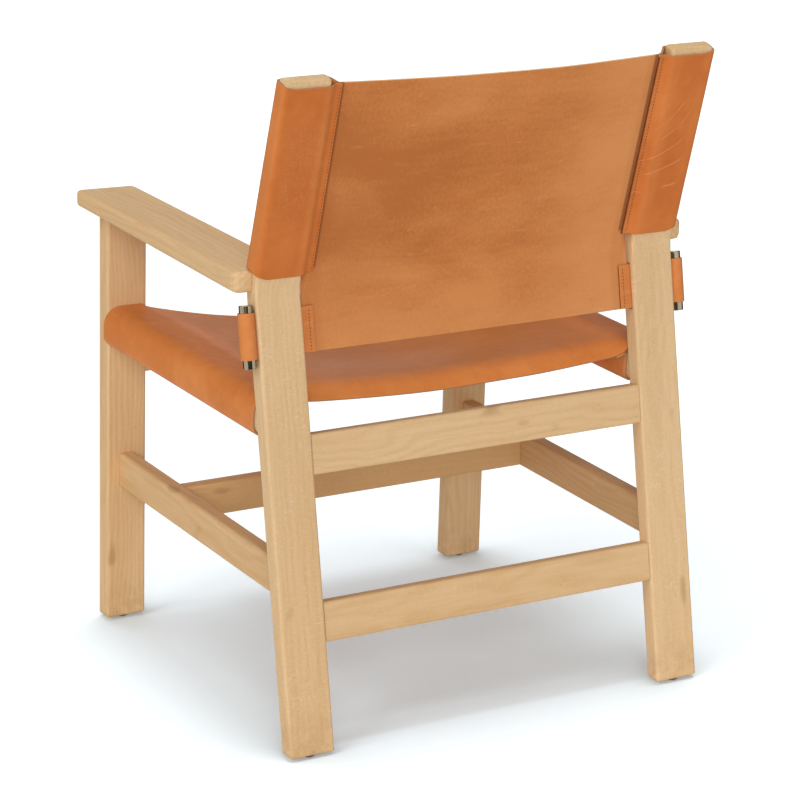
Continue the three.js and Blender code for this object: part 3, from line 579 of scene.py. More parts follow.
@dataclass(frozen=True)
class SmoothHide:
    """The grain side of vegetable-tanned saddle leather: close cells, a light sheen and uneven colour.

    The bands and borders are places on a sheet, in metres across it from the left flap's end or down it.
    """

    body: Colour = srgb(209, 121, 58)
    deep: Colour = srgb(186, 98, 43)
    pale: Colour = srgb(228, 148, 84)
    # colour of the painted shade laid on the seat's top
    painted_shade: Colour = srgb(176, 104, 46)
    roughness: float = 0.41
    grain_height: float = 0.3 * MM
    # bands of painted shade on the rear faces, painted highlight at the bends and painted light on the left outer
    # side
    shaded_rear_face_left: Band = (0.02, 0.03, 0.076, 0.082)
    shaded_rear_face_right: Band = (0.002, 0.01, 0.04, 0.05)
    highlight_bend_left: Band = (0.009, 0.017, 0.021, 0.031)
    highlight_bend_right: Band = (0.032, 0.042, 0.049, 0.057)
    lit_outer_side_left: Band = (0.076, 0.084, 0.102, 0.112)
    wrinkles_across: Band = (0.012, 0.034, 0.056, 0.078)
    wrinkles_down: Band = (0.03, 0.06, 0.13, 0.19)
    creases_down: Band = (0.02, 0.05, 0.17, 0.2)
    crease_pitch: float = 34 * MM
    right_sleeve: float = 70 * MM
    lit_border: tuple[float, float] = (0.185, 0.23)
    lit_rear: tuple[float, float] = (0.015, 0.05)

    def _sleeve_marks(
        self, tree: Tree, spot: Signal, cloud: Signal, width: float
    ) -> tuple[Signal, Signal, Signal]:
        """Works out the marks on the sleeves at a sheet's two sides.

        The left sleeve has a field of small wrinkles and an outer side made paler as painted light, and the right
        one slanting creases. Both get painted shade on their rear faces and a painted highlight along their bends.
        Places on the right sleeve are counted from right_sleeve before the sheet's end.

        Args:
            tree: The material's tree.
            spot: The hide's coordinates.
            cloud: The hide's broad unevenness.
            width: The sheet's width.

        Returns:
            How much the colour is deepened, painted shade included; how much it is made paler, painted light and
            highlights included; and the relief.
        """
        u, v, _ = tree.parts(tree.surface())
        inward = u - width + self.right_sleeve
        wrinkled = u.band(*self.wrinkles_across) * v.band(*self.wrinkles_down)
        down, over = (tree.veins(0.07, spot, 330, 1, 0.5, 0.6, way) for way in ((1, 0.3, 1), (0.3, 1, 1)))
        hatch = (down + over) * wrinkled
        slope = inward * (v.step(0.19, 0.04) * 1.5 + 0.15) - v + tree.noise(spot, 24, 2) * (12 * MM)
        creases = (slope * (math.tau / self.crease_pitch)).sine().step(0.94, 1.0) * inward.step(2 * MM, 14 * MM)
        creases = creases * v.band(*self.creases_down) * tree.noise(spot, 30, 1).step(0.4, 0.55)
        # painted highlight along the bends, and painted shade on the rear faces
        painted_bend_highlights = (u.band(*self.highlight_bend_left) + inward.band(*self.highlight_bend_right)) * (cloud * 0.8 + 0.2)
        faces = u.band(*self.shaded_rear_face_left) + inward.band(*self.shaded_rear_face_right)
        # the left outer side is made paler as painted light
        paler_and_painted_light = creases * 0.5 + hatch * 0.18 + painted_bend_highlights * 0.28 + u.band(*self.lit_outer_side_left) * 0.35
        return faces * 0.22 + wrinkled * 0.12, paler_and_painted_light, hatch * 2.2 + creases * 1.2

    def material(
        self, name: str, offset: Sequence[float] = (0, 0, 0), sleeves: float = 0, seat: float = 0
    ) -> bpy.types.Material:
        """Makes the finish on the piece's own surface coordinates.

        Args:
            name: The material's name.
            offset: Where the piece was cut from the hide.
            sleeves: The width of a sheet with a sleeve at each side, or 0 for another sheet.
            seat: The width of a seat's sheet, whose top gets painted shade away from the rolls and the rear lip,
                or 0 for another sheet.

        Returns:
            The material.
        """
        tree = Tree(name)
        spot = tree.surface(offset)
        cloud = tree.noise(spot, 9, 4, 0.6, 0.4)
        mottle = tree.noise(spot, 60, 4, 0.62)
        crease = tree.veins(0.01, spot, 9, 3, 0.5, 0.5, (0.55, 1.3, 1)) * cloud.step(0.52, 0.62)
        speck = tree.noise(spot, 420, 1).step(0.7, 0.8)
        cells = tree.cells(spot, 760)
        fine = tree.noise(spot, 1300, 2)
        colour = tree.mix((cloud - 0.5) * 1.3 + (mottle - 0.5) * 0.9 + 0.35, self.body, self.deep)
        colour = tree.mix((0.5 - cloud) * 0.9 + crease * 0.25, colour, self.pale)
        colour = tree.mix(speck * 0.3, colour, self.deep)
        relief = cells * 0.5 + fine * 0.2 + mottle * 0.8 - crease * 0.5
        if sleeves:
            deeper_and_painted_shade, paler_and_painted_light, raised = self._sleeve_marks(tree, spot, cloud, sleeves)
            colour = tree.mix(paler_and_painted_light, tree.mix(deeper_and_painted_shade, colour, self.deep), self.pale)
            relief = relief + raised
        # painted shade: the seat's top is darkened between the rolls and ahead of the rear lip, which are left lit
        if seat:
            u, v, _ = tree.parts(tree.surface())
            low, full = self.lit_border
            used = (u + (cloud - 0.5) * (50 * MM)).band(low, full, seat - full, seat - low)
            used = used * v.step(*self.lit_rear) * (cloud * 0.4 + 0.5)
            colour = tree.mix(used, colour, self.painted_shade)
        return tree.finish(
            Base_Color=colour,
            Roughness=mottle * 0.18 + cells * 0.05 + self.roughness,
            Normal=tree.bump(relief, self.grain_height, 0.5),
            Specular_IOR_Level=0.12,
        )


@dataclass(frozen=True)
class FleshSide:
    """The matt, napped flesh side of the same leather: cloudy and scuffed, darker towards the upper left, with
    painted shadow beside the seams.
    """

    body: Colour = srgb(206, 131, 72)
    deep: Colour = srgb(182, 107, 54)
    pale: Colour = srgb(222, 153, 96)
    # colour of the painted shadow beside the seams
    stain: Colour = srgb(112, 62, 34)
    nap_height: float = 0.4 * MM
    upper_left_rows: Band = (0.0, 0.09, 0.2, 0.335)
    sewn_above: tuple[float, float] = (0.243, 0.233)
    seam_shadow: tuple[float, float] = (3.6 * MM, 0.8 * MM)
    seam_shade: tuple[float, float] = (14 * MM, 7 * MM)

    def material(self, name: str, seams: Sequence[float]) -> bpy.types.Material:
        """Makes the finish on the piece's own surface coordinates.

        Args:
            name: The material's name.
            seams: Where the seams lie across the sheet.

        Returns:
            The material.
        """
        tree = Tree(name)
        spot = tree.surface((0.31, 0.17, 0))
        cloud = tree.noise(spot, 6.5, 3, 0.5, 0.5, (0.7, 1.25, 1))
        patch = tree.noise(spot, 24, 4, 0.6, 0, (0.6, 1.2, 1))
        bands = tree.noise(spot, 150, 2, 0.6, 0, (0.1, 1, 1))
        nap = tree.noise(spot, 260, 4, 0.7, 0, (1, 0.7, 1))
        fluff = tree.noise(spot, 1100, 2, 0.6)
        scar = tree.veins(0.008, spot, 14, 3, 0.6, 0.8, (0.4, 1.6, 1)) * patch.step(0.57, 0.66)
        scuffs = tree.noise(spot, 70, 2, 0.6, 0.8, (0.45, 1.6, 1)).step(0.62, 0.76)
        u, v, _ = tree.parts(tree.surface())
        # darker towards the upper left of the panel
        darker_upper_left = u.step(0.6, 0.2) * v.band(*self.upper_left_rows)
        tone = (cloud - 0.5) * 1.1 + (patch - 0.5) * 1.3 + (nap - 0.5) * 1.5 + (bands - 0.5) * 0.5
        tone = tone + darker_upper_left * 0.65 + u.step(0.45, 0.2) * 0.2 + 0.2
        lighter = u.step(0.44, 0.64) * 0.45 + v.step(0.27, 0.345) * 0.3 + scuffs * 0.24
        colour = tree.mix(tone, self.body, self.deep)
        colour = tree.mix((0.5 - cloud) * 1.2 + (fluff - 0.5) * 0.6, colour, self.pale)
        colour = tree.mix(scar * 0.3, tree.mix(lighter, colour, self.pale), self.deep)
        # painted shadow beside each seam, where the flap's edge shades the panel, then a fainter painted shade
        for seam in seams:
            beside = (u - seam).size() + (fluff - 0.5) * (2 * MM)
            shadowed = beside.step(*self.seam_shadow) * v.step(*self.sewn_above)
            colour = tree.mix(shadowed * 0.75, colour, self.stain)
            colour = tree.mix(beside.step(*self.seam_shade) * 0.2, colour, self.deep)
        relief = nap * 0.7 + fluff * 0.3 + patch * 0.4 - scar * 0.6
        return tree.finish(
            Base_Color=colour,
            Roughness=nap * 0.12 + 0.78,
            Normal=tree.bump(relief, self.nap_height, 0.5),
            Specular_IOR_Level=0.15,
            Sheen_Weight=0.05,
            Sheen_Roughness=0.5,
        )


@dataclass(frozen=True)
class CutEdge:
    """The cut edge of the leather, burnished dark or left pale; the dark tone is partly burnishing and partly
    painted shade for the gaps beside the edges.
    """

    pale: Colour = srgb(240, 196, 146)
    body: Colour = srgb(160, 96, 54)
    deep: Colour = srgb(92, 50, 26)
    fade: float = 4 * MM
    pale_rim: tuple[float, float] = (3 * MM, 1 * MM)
    rough_height: float = 0.2 * MM

    def material(self, name: str, dark: float, pale_between: Sequence[float] = (0, 0)) -> bpy.types.Material:
        """Makes the finish.

        Args:
            name: The material's name.
            dark: How dark the burnished part is, from 0 to 1.
            pale_between: The stretch of the sheet's first row that is left palest, by places across it.

        Returns:
            The material: noise in Object coordinates, and what is left pale lies along the first row.
        """
        tree = Tree(name)
        spot = tree.place()
        tone = tree.noise(spot, 60, 3, 0.6) * 0.5 + tree.noise(spot, 1600, 2) * 0.5 - 0.5 + dark
        u, v, _ = tree.parts(tree.surface())
        low, high = pale_between
        bare = u.band(low, low + self.fade, high - self.fade, high) * 0.65 + 0.35
        colour = tree.mix(v.step(*self.pale_rim) * bare, tree.mix(tone, self.body, self.deep), self.pale)
        normal = tree.bump(tree.noise(spot, 1500, 2), self.rough_height)
        return tree.finish(Base_Color=colour, Roughness=tone * 0.1 + 0.66, Normal=normal, Specular_IOR_Level=0.15)


@dataclass(frozen=True)
class WaxedThread:
    """Twisted waxed thread in a darker tan than the leather."""

    light: Colour = srgb(124, 66, 32)
    dark: Colour = srgb(74, 38, 20)
    twist_height: float = 0.1 * MM

    def material(self, name: str) -> bpy.types.Material:
        """Makes the finish: a fine twist and slow colour change in Object coordinates."""
        tree = Tree(name)
        spot = tree.place()
        twist = tree.noise(spot, 2600, 1)
        colour = tree.mix(tree.noise(spot, 90, 2) * 0.8 + twist * 0.4, self.light, self.dark)
        normal = tree.bump(twist, self.twist_height)
        return tree.finish(Base_Color=colour, Roughness=twist * 0.2 + 0.5, Normal=normal)


@dataclass(frozen=True)
class PolishedSteel:
    """Turned and polished stainless bar, with faint marks round it."""

    light: Colour = srgb(180, 164, 137)
    dark: Colour = srgb(130, 114, 87)
    mark_height: float = 0.03 * MM

    def material(self, name: str) -> bpy.types.Material:
        """Makes the finish: marks are noise drawn out round the bar, which lies near upright."""
        tree = Tree(name)
        spot = tree.place((0, 0, 0), Grain.RAKED.value)
        marks = tree.noise(spot, 5200, 2, 0.5, 0, (0.05, 0.05, 1))
        smear = tree.noise(spot, 140, 3)
        return tree.finish(
            Base_Color=tree.mix(marks * 0.5 + smear * 0.5, self.light, self.dark),
            Metallic=1.0,
            Roughness=smear * 0.1 + marks * 0.06 + 0.08,
            Normal=tree.bump(marks, self.mark_height, 0.4),
        )


@dataclass(frozen=True)
class BrownNylon:
    """Moulded brown nylon, scuffed by the floor."""

    body: Colour = srgb(96, 66, 42)
    scuff: Colour = srgb(134, 102, 74)
    grain_height: float = 0.1 * MM

    def material(self, name: str) -> bpy.types.Material:
        """Makes the finish: scuffs are thresholded noise in Object coordinates."""
        tree = Tree(name)
        spot = tree.place()
        scuffs = tree.noise(spot, 420, 4, 0.7).step(0.52, 0.7)
        return tree.finish(
            Base_Color=tree.mix(scuffs, self.body, self.scuff),
            Roughness=scuffs * 0.3 + 0.4,
            Normal=tree.bump(tree.noise(spot, 1500, 2), self.grain_height),
        )


@dataclass(frozen=True)
class LeatherFaces:
    """The finishes of a sheet of leather: its outward face, its other face and its cut edge."""

    outward: bpy.types.Material
    inward: bpy.types.Material
    edge: bpy.types.Material


# ---------------------------------------------------------------------------------------- leather


@dataclass
class LeatherSheet:
    """A sheet of leather about a grid of middle points, with its cut edges slightly eased."""

    name: str
    middle: Array
    thickness: float
    present: Array | None = None
    ease: float = 0.5 * MM
    ease_angle: float = 55

    def surface_places(self) -> Array:
        """Returns each point's place on the flat sheet: its mean distances across columns and along rows."""
        u, v = mean_lengths(self.middle, 1), mean_lengths(self.middle, 0)
        return np.stack(np.broadcast_arrays(u[None, :], v[:, None]), axis=-1).reshape(-1, 2)

    def flat_area(self) -> float:
        """Returns the area of the cells that are present, as half the cross product of each cell's diagonals."""
        grid = self.middle
        first, second = grid[1:, 1:] - grid[:-1, :-1], grid[1:, :-1] - grid[:-1, 1:]
        cells = np.linalg.norm(np.cross(first, second), axis=-1) / 2
        return float(cells.sum() if self.present is None else cells[self.present].sum())

    def build(self, faces: LeatherFaces) -> bpy.types.Object:
        """Makes the sheet: the middle surface given its thickness both ways, then its edges eased.

        Args:
            faces: The finishes, outward being the side that the grid's normals point to.

        Returns:
            The object.
        """
        rows, columns, _ = self.middle.shape
        quads = grid_faces(rows, columns, self.present)
        used, quads = np.unique(quads, return_inverse=True)
        quads = quads.reshape(-1, 4)
        points, places = self.middle.reshape(-1, 3)[used], self.surface_places()[used]
        made = mesh_object(self.name, points, quads, places)
        for finish in (faces.outward, faces.inward, faces.edge):
            made.data.materials.append(finish)
        wall = made.modifiers.new("thickness", "SOLIDIFY")
        wall.thickness, wall.offset, wall.use_even_offset = self.thickness, 0, True
        wall.material_offset, wall.material_offset_rim = 1, 2
        ease = made.modifiers.new("eased_edge", "BEVEL")
        ease.width, ease.segments = self.ease, 2
        ease.limit_method, ease.angle_limit = "ANGLE", math.radians(self.ease_angle)
        return made


@dataclass
class Stitching:
    """A row of saddle stitches as short rounded bars of thread, half sunk in the leather."""

    name: str
    length: float = 2.9 * MM
    radius: float = 0.55 * MM

    def build(self, places: Array, along: Array, outward: Array, finish: bpy.types.Material) -> bpy.types.Object:
        """Makes all the stitches of a row as one mesh.

        A stitch is a ring of six points carried along a half wave: the ring's radius is r sqrt(1 - s^4) and the
        bar dips by r s^2 towards its ends, with s from -1 to 1 along it.

        Args:
            places: Stitch centres on the leather's surface, shape (n, 3).
            along: Unit directions of the row, shape (n, 3).
            outward: Unit directions out of the leather, shape (n, 3).
            finish: The thread's finish.

        Returns:
            The object, riding the chair.
        """
        sides, share = 6, np.array([-0.98, -0.75, -0.3, 0.3, 0.75, 0.98])
        turn = np.linspace(0, math.tau, sides, endpoint=False)
        radius = self.radius * np.sqrt(1 - share**4)
        across = np.cross(along, outward)
        ring_in = radius[:, None] * np.cos(turn)
        ring_out = radius[:, None] * np.sin(turn) - (share**2 * self.radius)[:, None]
        run = (share * self.length / 2)[:, None] + 0 * turn
        shape = places[:, None, None] + run[..., None] * along[:, None, None]
        shape = shape + ring_in[..., None] * across[:, None, None]
        shape = shape + ring_out[..., None] * outward[:, None, None]
        low_cap, high_cap = np.array([(0, 3, 2, 1), (0, 5, 4, 3)]), np.array([(0, 1, 2, 3), (0, 3, 4, 5)])
        one = np.concatenate([ring_quads(len(share), sides), low_cap, high_cap + (len(share) - 1) * sides])
        faces = one[None] + (np.arange(len(places)) * len(share) * sides)[:, None, None]
        made = mesh_object(self.name, shape.reshape(-1, 3), faces.reshape(-1, 4))
        made.data.materials.append(finish)
        return settled(made, ROOT_BODY)


@dataclass
class SeatSling:
    """The seat: one sheet that sags between the side rails and is sewn round each of them."""

    rail_inner: float = 233.5 * MM
    rail_outer: float = 286.3 * MM
    rail_top: float = 418.0 * MM
    rail_low: float = 374.3 * MM
    corner_radii: tuple[float, float, float] = (20 * MM, 10 * MM, 6 * MM)
    thickness: float = 3.0 * MM
    gap: float = 0.3 * MM
    front: float = -231.7 * MM
    rear: float = 163.0 * MM
    fall: float = 5 / 401.5
    contact: float = 6 * MM
    sag_front: float = 36 * MM
    sag_rear: float = 10.5 * MM
    sag_power: float = 1.12
    rise: float = 166 * MM
    rear_lip: tuple[float, float] = (14 * MM, 26 * MM)
    front_lip: tuple[float, float] = (6 * MM, 20 * MM)
    lip_inset: float = 5 * MM
    lip_power: float = 30
    lap: float = 14 * MM
    stitch_inset: float = 8 * MM
    stitch_pitch: float = 4.6 * MM
    lip_rows: int = 9
    main_rows: int = 64
    edge_columns: int = 16
    main_columns: int = 58
    sleeve_columns: int = 78

    @property
    def offset(self) -> float:
        """Returns the distance from the rail to the middle of the leather."""
        return self.gap + self.thickness / 2

    @property
    def width(self) -> float:
        """Returns the sheet's flat width from one flap's end to the other's, half way along the seat."""
        middle = self.middle()
        return float(arc_lengths(middle[len(middle) // 2])[-1])

    def height(self, x: Array, y: Array) -> Array:
        """Works out the middle surface between the rails.

        The rails fall evenly to the rear. The sag is deepest at the front and eases off towards the rear as a
        smooth step. Across the chair it goes as (1 - s^2)^p. At the two ends a lip turns down as the square of the
        distance into it, and fades near the rails as 1 - s^30.

        Args:
            x: Places across.
            y: Places along.

        Returns:
            Heights of the leather's middle.
        """
        share = np.clip(np.abs(x) / (self.rail_inner + self.contact), 0, 1)
        lip_share = np.clip(np.abs(x) / (self.rail_inner + self.lip_inset), 0, 1)
        from_rear = self.rear - y
        eased = smooth(from_rear, self.rear_lip[1], self.rear_lip[1] + self.rise)
        sag = self.sag_rear + (self.sag_front - self.sag_rear) * eased
        rear_lip = self.rear_lip[0] * np.clip(1 - from_rear / self.rear_lip[1], 0, 1) ** 2
        front_lip = self.front_lip[0] * np.clip(1 - (y - self.front) / self.front_lip[1], 0, 1) ** 2
        drop = sag * (1 - share**2) ** self.sag_power + (rear_lip + front_lip) * (1 - lip_share**self.lip_power)
        return self.rail_top + self.offset - drop - self.fall * (y - self.front)

    def under(self, x: float, y: float) -> tuple[float, float]:
        """Returns the place of the flap's middle under the seat's sheet."""
        return x, float(self.height(np.array(x), np.array(y))) - self.thickness - self.gap

    def sleeve(self, y: float, count: int) -> Array:
        """Returns the sleeve round the left rail at one place along the seat, from the sheet to the flap's end."""
        o = self.offset
        top_out, low_out, low_in = (radius + o for radius in self.corner_radii)
        flap_x = self.rail_inner - o
        laps = [self.under(flap_x - share * self.lap, y) for share in (0.35, 0.6, 0.8, 1.0)]
        fallen = self.fall * (y - self.front)
        top, low = self.rail_top + o - fallen, self.rail_low - o - fallen
        corners = np.array([
            (self.rail_inner + self.contact, top),
            (self.rail_outer + o, top),
            (self.rail_outer + o, low),
            (flap_x, low),
            self.under(flap_x, y),
            *laps,
        ])
        return resampled(filleted(corners, (top_out, low_out, low_in, 3.2 * MM, 0, 0, 0)), count)

    def middle(self) -> Array:
        """Returns the grid of middle points, rows from rear to front and columns from left flap to right flap."""
        edge = self.rail_inner + self.contact
        lips = np.linspace(0, 1, self.lip_rows)
        main = np.linspace(self.front + self.front_lip[1], self.rear - self.rear_lip[1], self.main_rows)[1:-1]
        ends = self.front + lips * self.front_lip[1], self.rear - (1 - lips) * self.rear_lip[1]
        rows = np.concatenate([ends[0], main, ends[1]])[::-1]
        fine = np.linspace(edge, edge - 30 * MM, self.edge_columns)
        across = both_edges(fine, self.main_columns)
        surface = Waves(0.7 * MM, 150 * MM, 11)
        grid = []
        for y in rows:
            side = self.sleeve(float(y), self.sleeve_columns)
            fade = (1 - (across / edge) ** 2) * smooth(y, self.front, self.front + 40 * MM)
            sheet = np.stack([across, self.height(across, np.full_like(across, y))], axis=1)
            sheet[:, 1] += surface.over(across, np.full_like(across, y)) * fade
            line = np.concatenate([side[:0:-1], sheet, side[1:] * (-1, 1)])
            grid.append(np.stack([line[:, 0], np.full(len(line), y), line[:, 1]], axis=1))
        return np.stack(grid)

    def stitches(self, side: Side) -> tuple[Array, Array, Array]:
        """Returns the stitches' places on the flap's underside, their direction and the way out."""
        y = np.arange(self.front + 6 * MM, self.rear - 5 * MM, self.stitch_pitch)
        x = np.full_like(y, self.rail_inner - self.offset - self.stitch_inset)
        height = self.height(x, y) - self.thickness - self.gap
        slope = np.gradient(height, y)
        step = 0.1 * MM
        across = (self.height(x + step, y) - self.height(x - step, y)) / (2 * step)
        outward = unit(np.stack([across * side.value, slope, -np.ones_like(y)], axis=1))
        along = unit(np.stack([0 * y, np.ones_like(y), slope], axis=1))
        places = np.stack([x * side.value, y, height], axis=1) + outward * (self.thickness / 2)
        return places, along, outward

    def build(self, faces: LeatherFaces, thread: bpy.types.Material) -> None:
        """Makes the seat's sheet and its two rows of stitches.

        Args:
            faces: The leather's finishes.
            thread: The thread's finish.
        """
        made = LeatherSheet("seat_sling_leather", self.middle(), self.thickness).build(faces)
        settled(made, ROOT_BODY, "seat_sling")
        rows = [Stitching(f"seat_stitches_{side.label}").build(*self.stitches(side), thread) for side in Side]
        width, length = self.width, self.rear - self.front
        LOG.info("seat sling: a sheet of %.3f by %.3f m", width, length)


@dataclass
class BackRow:
    """One row of the back's sheet.

    It has its origin and up direction in (y, z), the panel's depth and bow, how much of the front layer's turn its
    edges have, and for a row with sleeves the share of the way up.
    """

    origin: Array
    up: Array
    depth: float
    bow: float
    turn: float
    share: float | None = None


@dataclass
class BackSling:
    """The back: one sheet with a sewn sleeve for each post, and a panel that goes down between the legs."""

    post_thickness: tuple[float, float] = (23.24 * MM, 18.0 * MM)
    post_round: float = 3 * MM
    thickness: float = 2.5 * MM
    gap: float = 0.3 * MM
    seam: float = 214.5 * MM
    flap_depth: float = 4.7 * MM
    top: float = 250.0 * MM
    bottom: float = 18.2 * MM
    hang: float = 5.5 * MM
    front_lift: float = 3.8 * MM
    upper_bow: float = 10.5 * MM
    lower_bow: float = 6 * MM
    bend_below: float = 21 * MM
    panel_bottom: float = -79.5 * MM
    sewn: float = 5.5 * MM
    flap_flat: float = 8.5 * MM
    curl: float = 1.1 * MM
    stitch_insets: dict[Side, float] = field(default_factory=lambda: {Side.LEFT: 2.2 * MM, Side.RIGHT: 6.2 * MM})
    stitch_pitch: float = 4.2 * MM
    sleeve_rows: int = 62
    bend_rows: int = 19
    lower_rows: int = 14
    edge_columns: int = 14
    main_columns: int = 71
    sleeve_columns: int = 66

    @property
    def offset(self) -> float:
        """Returns the distance from the post to the middle of the leather."""
        return self.gap + self.thickness / 2

    @property
    def panel_depth(self) -> float:
        """Returns how far the panel's middle is ahead of the post's rear face at the seam."""
        return self.flap_depth + self.thickness + self.gap

    @property
    def panel_half(self) -> float:
        """Returns half of the panel's width below the sleeves."""
        return LINES.inner - LINES.panel_gap

    def sleeve(self, post: float) -> tuple[Array, Array, Array]:
        """Works out the sleeve round the left post where it has a given thickness.

        Args:
            post: The post's thickness.

        Returns:
            The front layer's start in plan as (x, depth ahead of the rear face), from the seam out to the panel's
            half width; the rest of the sleeve from there to the flap's end; and for each point of the rest, 0 in
            the front layer, 1 in the rear one and a share on the outer side.
        """
        o, r = self.offset, self.post_round + self.offset
        sewn = self.seam + self.sewn
        corners = np.array([
            (self.seam, self.panel_depth),
            (sewn, self.panel_depth),
            (LINES.inner - 0.5 * MM, post + o),
            (LINES.outer + o, post + o),
            (LINES.outer + o, -o),
            (LINES.inner + 2 * MM, -o),
            (self.seam + self.flap_flat, self.flap_depth),
            (self.seam + 2 * MM, self.flap_depth),
            (self.seam, self.flap_depth - self.curl),
        ])
        path = filleted(corners, (8 * MM, 5 * MM, r, r, 8 * MM, 3 * MM, 4 * MM))
        out = int(np.argmax(path[:, 0] > self.panel_half))
        share = (self.panel_half - path[out - 1, 0]) / (path[out, 0] - path[out - 1, 0])
        split = path[out - 1] + share * (path[out] - path[out - 1])
        start, rest = np.vstack([path[:out], split]), np.vstack([split, path[out:]])
        rest = resampled(rest, self.sleeve_columns)
        walked = arc_lengths(rest)
        corner = walked[np.argmin(np.abs(rest[:, 0] - LINES.outer - o) + np.abs(rest[:, 1] - r))]
        return start, rest, smooth(walked, corner, corner + 20 * MM)

    def rows(self) -> list[BackRow]:
        """Works out each row of the sheet from the top down.

        Sleeve rows go down the post. Below them the panel follows a quadratic curve from the post's line to the
        raked leg's, then runs straight down in the plane of the strap's slot. The panel's edges come out of the
        sleeve with the front layer's turn, and flatten as (1 - t)^2.

        Returns:
            The rows.
        """
        made: list[BackRow] = []
        kink, post_up, leg_up = np.array(LINES.kink), LINES.post_up, LINES.leg_up
        for share in np.linspace(1, 0, self.sleeve_rows):
            origin = kink + (self.bottom + share * (self.top - self.bottom)) * post_up
            bow = self.lower_bow + (self.upper_bow - self.lower_bow) * share
            made.append(BackRow(origin, post_up, self.panel_depth, bow, 1.0, share))
        start = kink + self.bottom * post_up + self.panel_depth * LINES.ahead_of(post_up)
        end = kink - self.bend_below * leg_up + LINES.slot_depth * LINES.ahead_of(leg_up)
        step = end - start
        cross = post_up[0] * leg_up[1] - post_up[1] * leg_up[0]
        middle = start + (step[0] * leg_up[1] - step[1] * leg_up[0]) / cross * post_up
        for t in np.linspace(0, 1, self.bend_rows)[1:]:
            spot = (1 - t) ** 2 * start + 2 * t * (1 - t) * middle + t**2 * end
            down = unit(2 * (1 - t) * (middle - start) + 2 * t * (end - middle))
            made.append(BackRow(spot, -down, 0.0, self.lower_bow, (1 - t) ** 2))
        for along in np.linspace(-self.bend_below, self.panel_bottom, self.lower_rows)[1:]:
            made.append(BackRow(kink + along * leg_up, leg_up, LINES.slot_depth, self.lower_bow, 0.0))
        return made

    def middle(self) -> tuple[Array, Array]:
        """Returns the grid of middle points and which of its cells are leather."""
        rows = self.rows()
        edge = np.linspace(self.panel_half, self.seam - 2 * MM, self.edge_columns)
        x = both_edges(edge, self.main_columns)
        bow_half = self.panel_half - 14 * MM
        rounded = np.clip(1 - (x / bow_half) ** 2, 0, 1)
        flutter = Waves(1.1 * MM, 190 * MM, 5)
        lead, rest, layer = self.sleeve(self.post_thickness[0])
        grid = []
        for row in rows:
            share = row.share
            if share is not None:
                post = self.post_thickness[0] + (self.post_thickness[1] - self.post_thickness[0]) * share
                lead, rest, layer = self.sleeve(post)
            turn = (np.interp(np.abs(x), lead[:, 0], lead[:, 1]) - self.panel_depth) * row.turn
            uneven = flutter.over(x, np.full_like(x, row.origin[1])) * rounded**0.5
            depth = row.depth - row.bow * rounded + turn + uneven
            raised = (1 - layer) * self.front_lift * np.clip(3 * (share or 0) - 2, 0, 1)
            ramp = smooth(np.abs(x), self.seam, self.panel_half) * raised[0]
            drop = layer * self.hang * (1 - (share or 0)) - raised
            line_x = np.concatenate([rest[:0:-1, 0], x, -rest[1:, 0]])
            line_depth = np.concatenate([rest[:0:-1, 1], depth, rest[1:, 1]])
            line_drop = np.concatenate([drop[:0:-1], -ramp, drop[1:]])
            up = row.up
            flat = row.origin + line_depth[:, None] * LINES.ahead_of(up) - line_drop[:, None] * up
            grid.append(np.concatenate([line_x[:, None], flat], axis=1))
        points = np.stack(grid)
        sleeve = len(rest) - 1
        present = np.ones((len(rows) - 1, points.shape[1] - 1), bool)
        present[self.sleeve_rows - 1 :, :sleeve] = False
        present[self.sleeve_rows - 1 :, -sleeve:] = False
        return points, present

    def across(self) -> tuple[float, float]:
        """Returns the sheet's mean width, and how far across the panel comes to the left flap's end."""
        points, _ = self.middle()
        walked = mean_lengths(points, 1)
        first = int(np.argmax(points[0, :, 0] > LINES.outer))
        met = first + int(np.argmax(points[0, first:, 0] < self.seam))
        return float(walked[-1]), float(walked[met])

    def stitches(self, side: Side) -> tuple[Array, Array, Array]:
        """Returns the stitches' places on the flap's rear, their direction and the way out."""
        along = np.arange(self.bottom - self.hang + 5 * MM, self.top - 3 * MM, self.stitch_pitch)
        x = side.value * (self.seam + self.stitch_insets[side])
        return LINES.row(LINES.post_up, x, self.flap_depth - self.thickness / 2, along)

    def build(self, faces: LeatherFaces, thread: bpy.types.Material) -> None:
        """Makes the back's sheet and its two rows of stitches.

        Args:
            faces: The leather's finishes.
            thread: The thread's finish.
        """
        points, present = self.middle()
        sheet = LeatherSheet("back_sling_leather", points, self.thickness, present)
        made = settled(sheet.build(faces), ROOT_BODY, "back_sling")
        rows = [Stitching(f"back_stitches_{side.label}").build(*self.stitches(side), thread) for side in Side]
        width, area = self.across()[0], sheet.flat_area()


